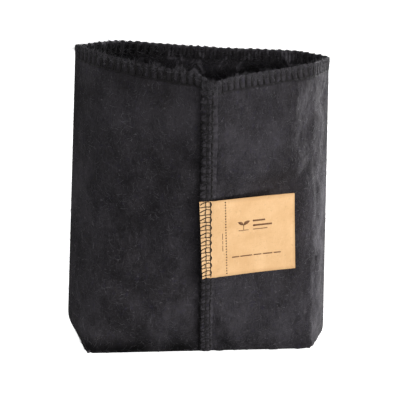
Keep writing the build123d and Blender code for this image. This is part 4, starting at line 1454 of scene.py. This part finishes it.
def fibres(grid, normal, count, seed, length=(1.8, 6.0), weight=None, rise=0.5,
           tone=(0.15, 1.0)):
    """Short curved hairs that stand out of a felt face, as thin closed tubes."""
    rng = np.random.default_rng(seed)
    cols, rows = grid.shape[:2]
    if weight is None:
        col = rng.uniform(1, cols - 2, count)
        row = rng.uniform(2, rows - 2, count)
    else:
        weight = np.maximum(weight, 0)
        pick = rng.choice(weight.size, size=count, p=(weight / weight.sum()).reshape(-1))
        col = np.clip(pick // rows + rng.uniform(-0.5, 0.5, count), 1, cols - 2)
        row = np.clip(pick % rows + rng.uniform(-0.5, 0.5, count), 1, rows - 2)
    c, r = col.astype(int), row.astype(int)
    tc, tr = (col - c)[:, None], (row - r)[:, None]
    root = (grid[c, r] * (1 - tc) * (1 - tr) + grid[c + 1, r] * tc * (1 - tr)
            + grid[c, r + 1] * (1 - tc) * tr + grid[c + 1, r + 1] * tc * tr)
    out = unit(normal[c, r])
    across = unit(grid[c + 1, r] - grid[c, r])
    up = unit(np.cross(out, across))
    angle = rng.uniform(0, 2 * np.pi, count)[:, None]
    ahead = across * np.cos(angle) + up * np.sin(angle)
    side = np.cross(out, ahead)
    reach = rng.uniform(*length, count)[:, None]
    curve = rng.normal(0, 0.45, (count, 1)) * reach
    height = rng.gamma(1.6, rise / 1.6, (count, 1))
    radius = rng.uniform(*FIBRE_R, count)[:, None]
    verts = []
    for i in range(FIBRE_SEGS + 1):
        t = i / FIBRE_SEGS
        arch = height * math.sin(math.pi * min(t * 0.85 + 0.08, 1)) - 0.12
        centre = root + ahead * reach * (t - 0.1) + side * curve * t * t + out * arch
        taper = 1.0 if 0 < i < FIBRE_SEGS else 0.45
        for a in (0, 2 * math.pi / 3, 4 * math.pi / 3):
            verts.append(centre + (side * math.cos(a) + out * math.sin(a)) * radius * taper)
    size = len(verts)                            # vertices of one hair
    quads, quad_uv = [], []
    for i in range(FIBRE_SEGS):
        u0, u1 = i / FIBRE_SEGS, (i + 1) / FIBRE_SEGS
        for j in range(3):
            a, b = i * 3 + j, i * 3 + (j + 1) % 3
            v0, v1 = j / 3, (j + 1) / 3
            quads.append((a, b, b + 3, a + 3))
            quad_uv.append([(u0, v0), (u0, v1), (u1, v1), (u1, v0)])
    caps = [(2, 1, 0), (size - 3, size - 2, size - 1)]
    first = (np.arange(count) * size)[:, None, None]
    faces = [(np.array(one)[None] + first).reshape(-1, len(one[0])).tolist()
             for one in (quads, caps)]
    # each hair has its own square in a grid of UV squares
    squares = int(math.ceil(math.sqrt(count)))
    index = np.arange(count)
    corner = np.stack([(index % squares) / squares, (index // squares) / squares], -1)
    corner = corner[:, None, None, :]
    uvs = (np.array(quad_uv)[None] * (0.7 / squares) + corner).reshape(-1, 4, 2).tolist()
    cap_uv = np.array([[[0, 0], [0.001, 0], [0, 0.001]]] * 2)
    uvs += (corner + cap_uv[None]).reshape(-1, 3, 2).tolist()
    shade = tone[0] + (tone[1] - tone[0]) * rng.uniform(0, 1, count) ** 2.2
    return np.stack(verts, 1).reshape(-1, 3), faces[0] + faces[1], uvs, np.repeat(shade, size)


def fibre_piece(name, sets, follow):
    piece = Piece()
    for verts, faces, uvs, tone in sets:
        verts[:, 2] = np.maximum(verts[:, 2], 0.15)
        piece.add(verts, faces, uvs, tone=tone)
    follow(piece.make(name, FIBRE_MAT))


def rim_weight(half):
    return np.exp(-half.depth / 1.2) * (half.depth < 6)


def front_fibres():
    """Few hairs in the stitched band, none under the tag or the folded allowance."""
    below_rim = ease(front.depth, 9, 14)
    off_tag = 1 - tag_area(SEAM_X, ROWS[None], left=(-1, 1), end=(56, 58), low=(0.30, 0.31),
                           high=(0.57, 0.58))
    off_fin = np.where((SEAM_X > -9.5) & (SEAM_X < 1.5), 0.0, 1.0)
    fibre_piece("felt_fibres_front", [
        fibres(front.outer, front.normal, 4200, 501,
               weight=(0.25 + 0.75 * below_rim) * off_tag * off_fin),
        fibres(front.outer, front.normal, 1500, 502, length=(1.5, 5.0),
               weight=rim_weight(front) * (off_fin + 0.3), rise=0.9, tone=(0.3, 1.0)),
    ], bend_front)


def back_fibres():
    """On the outer face, along the rim, and on the upper part of the inner face."""
    shape = back.inner.shape[:2]
    upper = np.broadcast_to(ease(np.arange(shape[1]), 20, 60)[None], shape)
    fibre_piece("felt_fibres_back", [
        fibres(back.outer, back.normal, 3200, 511),
        fibres(back.outer, back.normal, 1000, 512, length=(1.5, 5.0),
               weight=rim_weight(back), rise=0.9, tone=(0.3, 1.0)),
        fibres(back.inner, -normals(back.inner), 2200, 513, rise=0.7, tone=(0.4, 1.0),
               weight=upper),
    ], bend_back)


def seam_fibres():
    """On the folded allowance, thickest at its top end."""
    out = unit(fin_rings - fin_rings.mean(axis=1, keepdims=True))
    weight = np.zeros(fin_rings.shape[:2])
    weight[:, 8:34] = 1.0
    weight[int(len(weight) * 0.945):, 2:36] = 14.0
    fibre_piece("felt_fibres_seam", [
        fibres(fin_rings, out, 1200, 521, length=(1.2, 4.0), weight=weight, rise=0.55,
               tone=(0.2, 1.0)),
    ], lambda ob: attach(ob, FRONT))


front_fibres()
back_fibres()
seam_fibres()


# =====================================================================
# Stage: floor, light, camera (metres)
# =====================================================================
def white_floor(half_size=6.0, z=-0.0002):
    """Glows white to the camera, and is dim grey to every other ray."""
    mesh = bpy.data.meshes.new("floor")
    mesh.from_pydata([(x * half_size, y * half_size, z)
                      for x, y in ((-1, -1), (1, -1), (1, 1), (-1, 1))], [], [(0, 1, 2, 3)])
    ob = bpy.data.objects.new("floor", mesh)
    bpy.context.scene.collection.objects.link(ob)
    material = bpy.data.materials.new("floor")
    material.use_nodes = True
    nodes = material.node_tree.nodes
    link = material.node_tree.links.new
    white = nodes["Principled BSDF"]
    white.inputs["Base Color"].default_value = (0.86, 0.86, 0.86, 1)
    white.inputs["Roughness"].default_value = 0.9
    rays = nodes.new("ShaderNodeLightPath")
    glow = nodes.new("ShaderNodeEmission")
    glow.inputs["Strength"].default_value = 0.98
    dim = nodes.new("ShaderNodeBsdfDiffuse")
    dim.inputs["Color"].default_value = (0.30, 0.30, 0.30, 1)
    seen = nodes.new("ShaderNodeAddShader")
    choose = nodes.new("ShaderNodeMixShader")
    link(white.outputs[0], seen.inputs[0])
    link(glow.outputs[0], seen.inputs[1])
    link(rays.outputs["Is Camera Ray"], choose.inputs[0])
    link(dim.outputs[0], choose.inputs[1])
    link(seen.outputs[0], choose.inputs[2])
    link(choose.outputs[0], nodes["Material Output"].inputs[0])
    mesh.materials.append(material)


def studio_world():
    """White to the camera, a faint white light to the bag."""
    world = bpy.data.worlds.new("studio")
    bpy.context.scene.world = world
    world.use_nodes = True
    nodes = world.node_tree.nodes
    link = world.node_tree.links.new
    ambient = nodes["Background"]
    backdrop = nodes.new("ShaderNodeBackground")
    for node, strength in ((ambient, 0.09), (backdrop, 1.0)):
        node.inputs["Color"].default_value = (1, 1, 1, 1)
        node.inputs["Strength"].default_value = strength
    rays = nodes.new("ShaderNodeLightPath")
    choose = nodes.new("ShaderNodeMixShader")
    link(rays.outputs["Is Camera Ray"], choose.inputs[0])
    link(ambient.outputs[0], choose.inputs[1])
    link(backdrop.outputs[0], choose.inputs[2])
    link(choose.outputs[0], nodes["World Output"].inputs["Surface"])


def area_light(name, position, target, size, energy):
    light = bpy.data.lights.new(name, "AREA")
    light.shape = "RECTANGLE"
    light.size, light.size_y = size
    light.energy = energy
    ob = bpy.data.objects.new(name, light)
    bpy.context.scene.collection.objects.link(ob)
    ob.location = position
    aim = Vector(target) - Vector(position)
    ob.rotation_euler = aim.to_track_quat("-Z", "Y").to_euler()


def camera(distance, elevation, yaw, roll, lens, aim):
    """Looks at aim (mm) from the front, turned by angles in degrees."""
    elevation, yaw, roll = (math.radians(a) for a in (elevation, yaw, roll))
    backward = Vector((-math.sin(yaw) * math.cos(elevation),
                       -math.cos(yaw) * math.cos(elevation), math.sin(elevation)))
    right = Vector((math.cos(yaw), -math.sin(yaw), 0))
    up = backward.cross(right)
    rolled_right = right * math.cos(roll) + up * math.sin(roll)
    rolled_up = up * math.cos(roll) - right * math.sin(roll)
    data = bpy.data.cameras.new("camera")
    data.sensor_width = 36.0
    data.lens = lens
    data.clip_start = 0.05
    data.clip_end = 20.0
    ob = bpy.data.objects.new("camera", data)
    bpy.context.scene.collection.objects.link(ob)
    matrix = Matrix((rolled_right, rolled_up, backward)).transposed().to_4x4()
    matrix.translation = (Vector(aim) + backward * distance) * MM
    ob.matrix_world = matrix
    bpy.context.scene.camera = ob


white_floor()
studio_world()
area_light("key", position=(1.38, -1.10, 0.15), target=(0, -0.02, 0.10), size=(1.2, 0.22),
           energy=32)
area_light("top", position=(0.1, -1.25, 1.05), target=(0, 0.0, 0.18), size=(0.5, 0.3),
           energy=1.8)
area_light("fill", position=(0.12, -1.85, 0.50), target=(0, -0.02, 0.14), size=(1.5, 0.16),
           energy=16)
area_light("edge_right", position=(1.32, 0.95, 0.11), target=(0, -0.02, 0.1), size=(0.5, 0.18),
           energy=72)
area_light("edge_left", position=(-1.5, 0.62, 0.12), target=(0, -0.02, 0.1), size=(0.5, 0.2),
           energy=14)
camera(distance=1400.0, elevation=14.5, yaw=9.12, roll=1.68, lens=178.7193,
       aim=(1.59, 0.0, 103.14))

view = bpy.context.scene.view_settings
view.view_transform = "Standard"
view.look = "None"
view.exposure = 0.0
view.gamma = 1.0
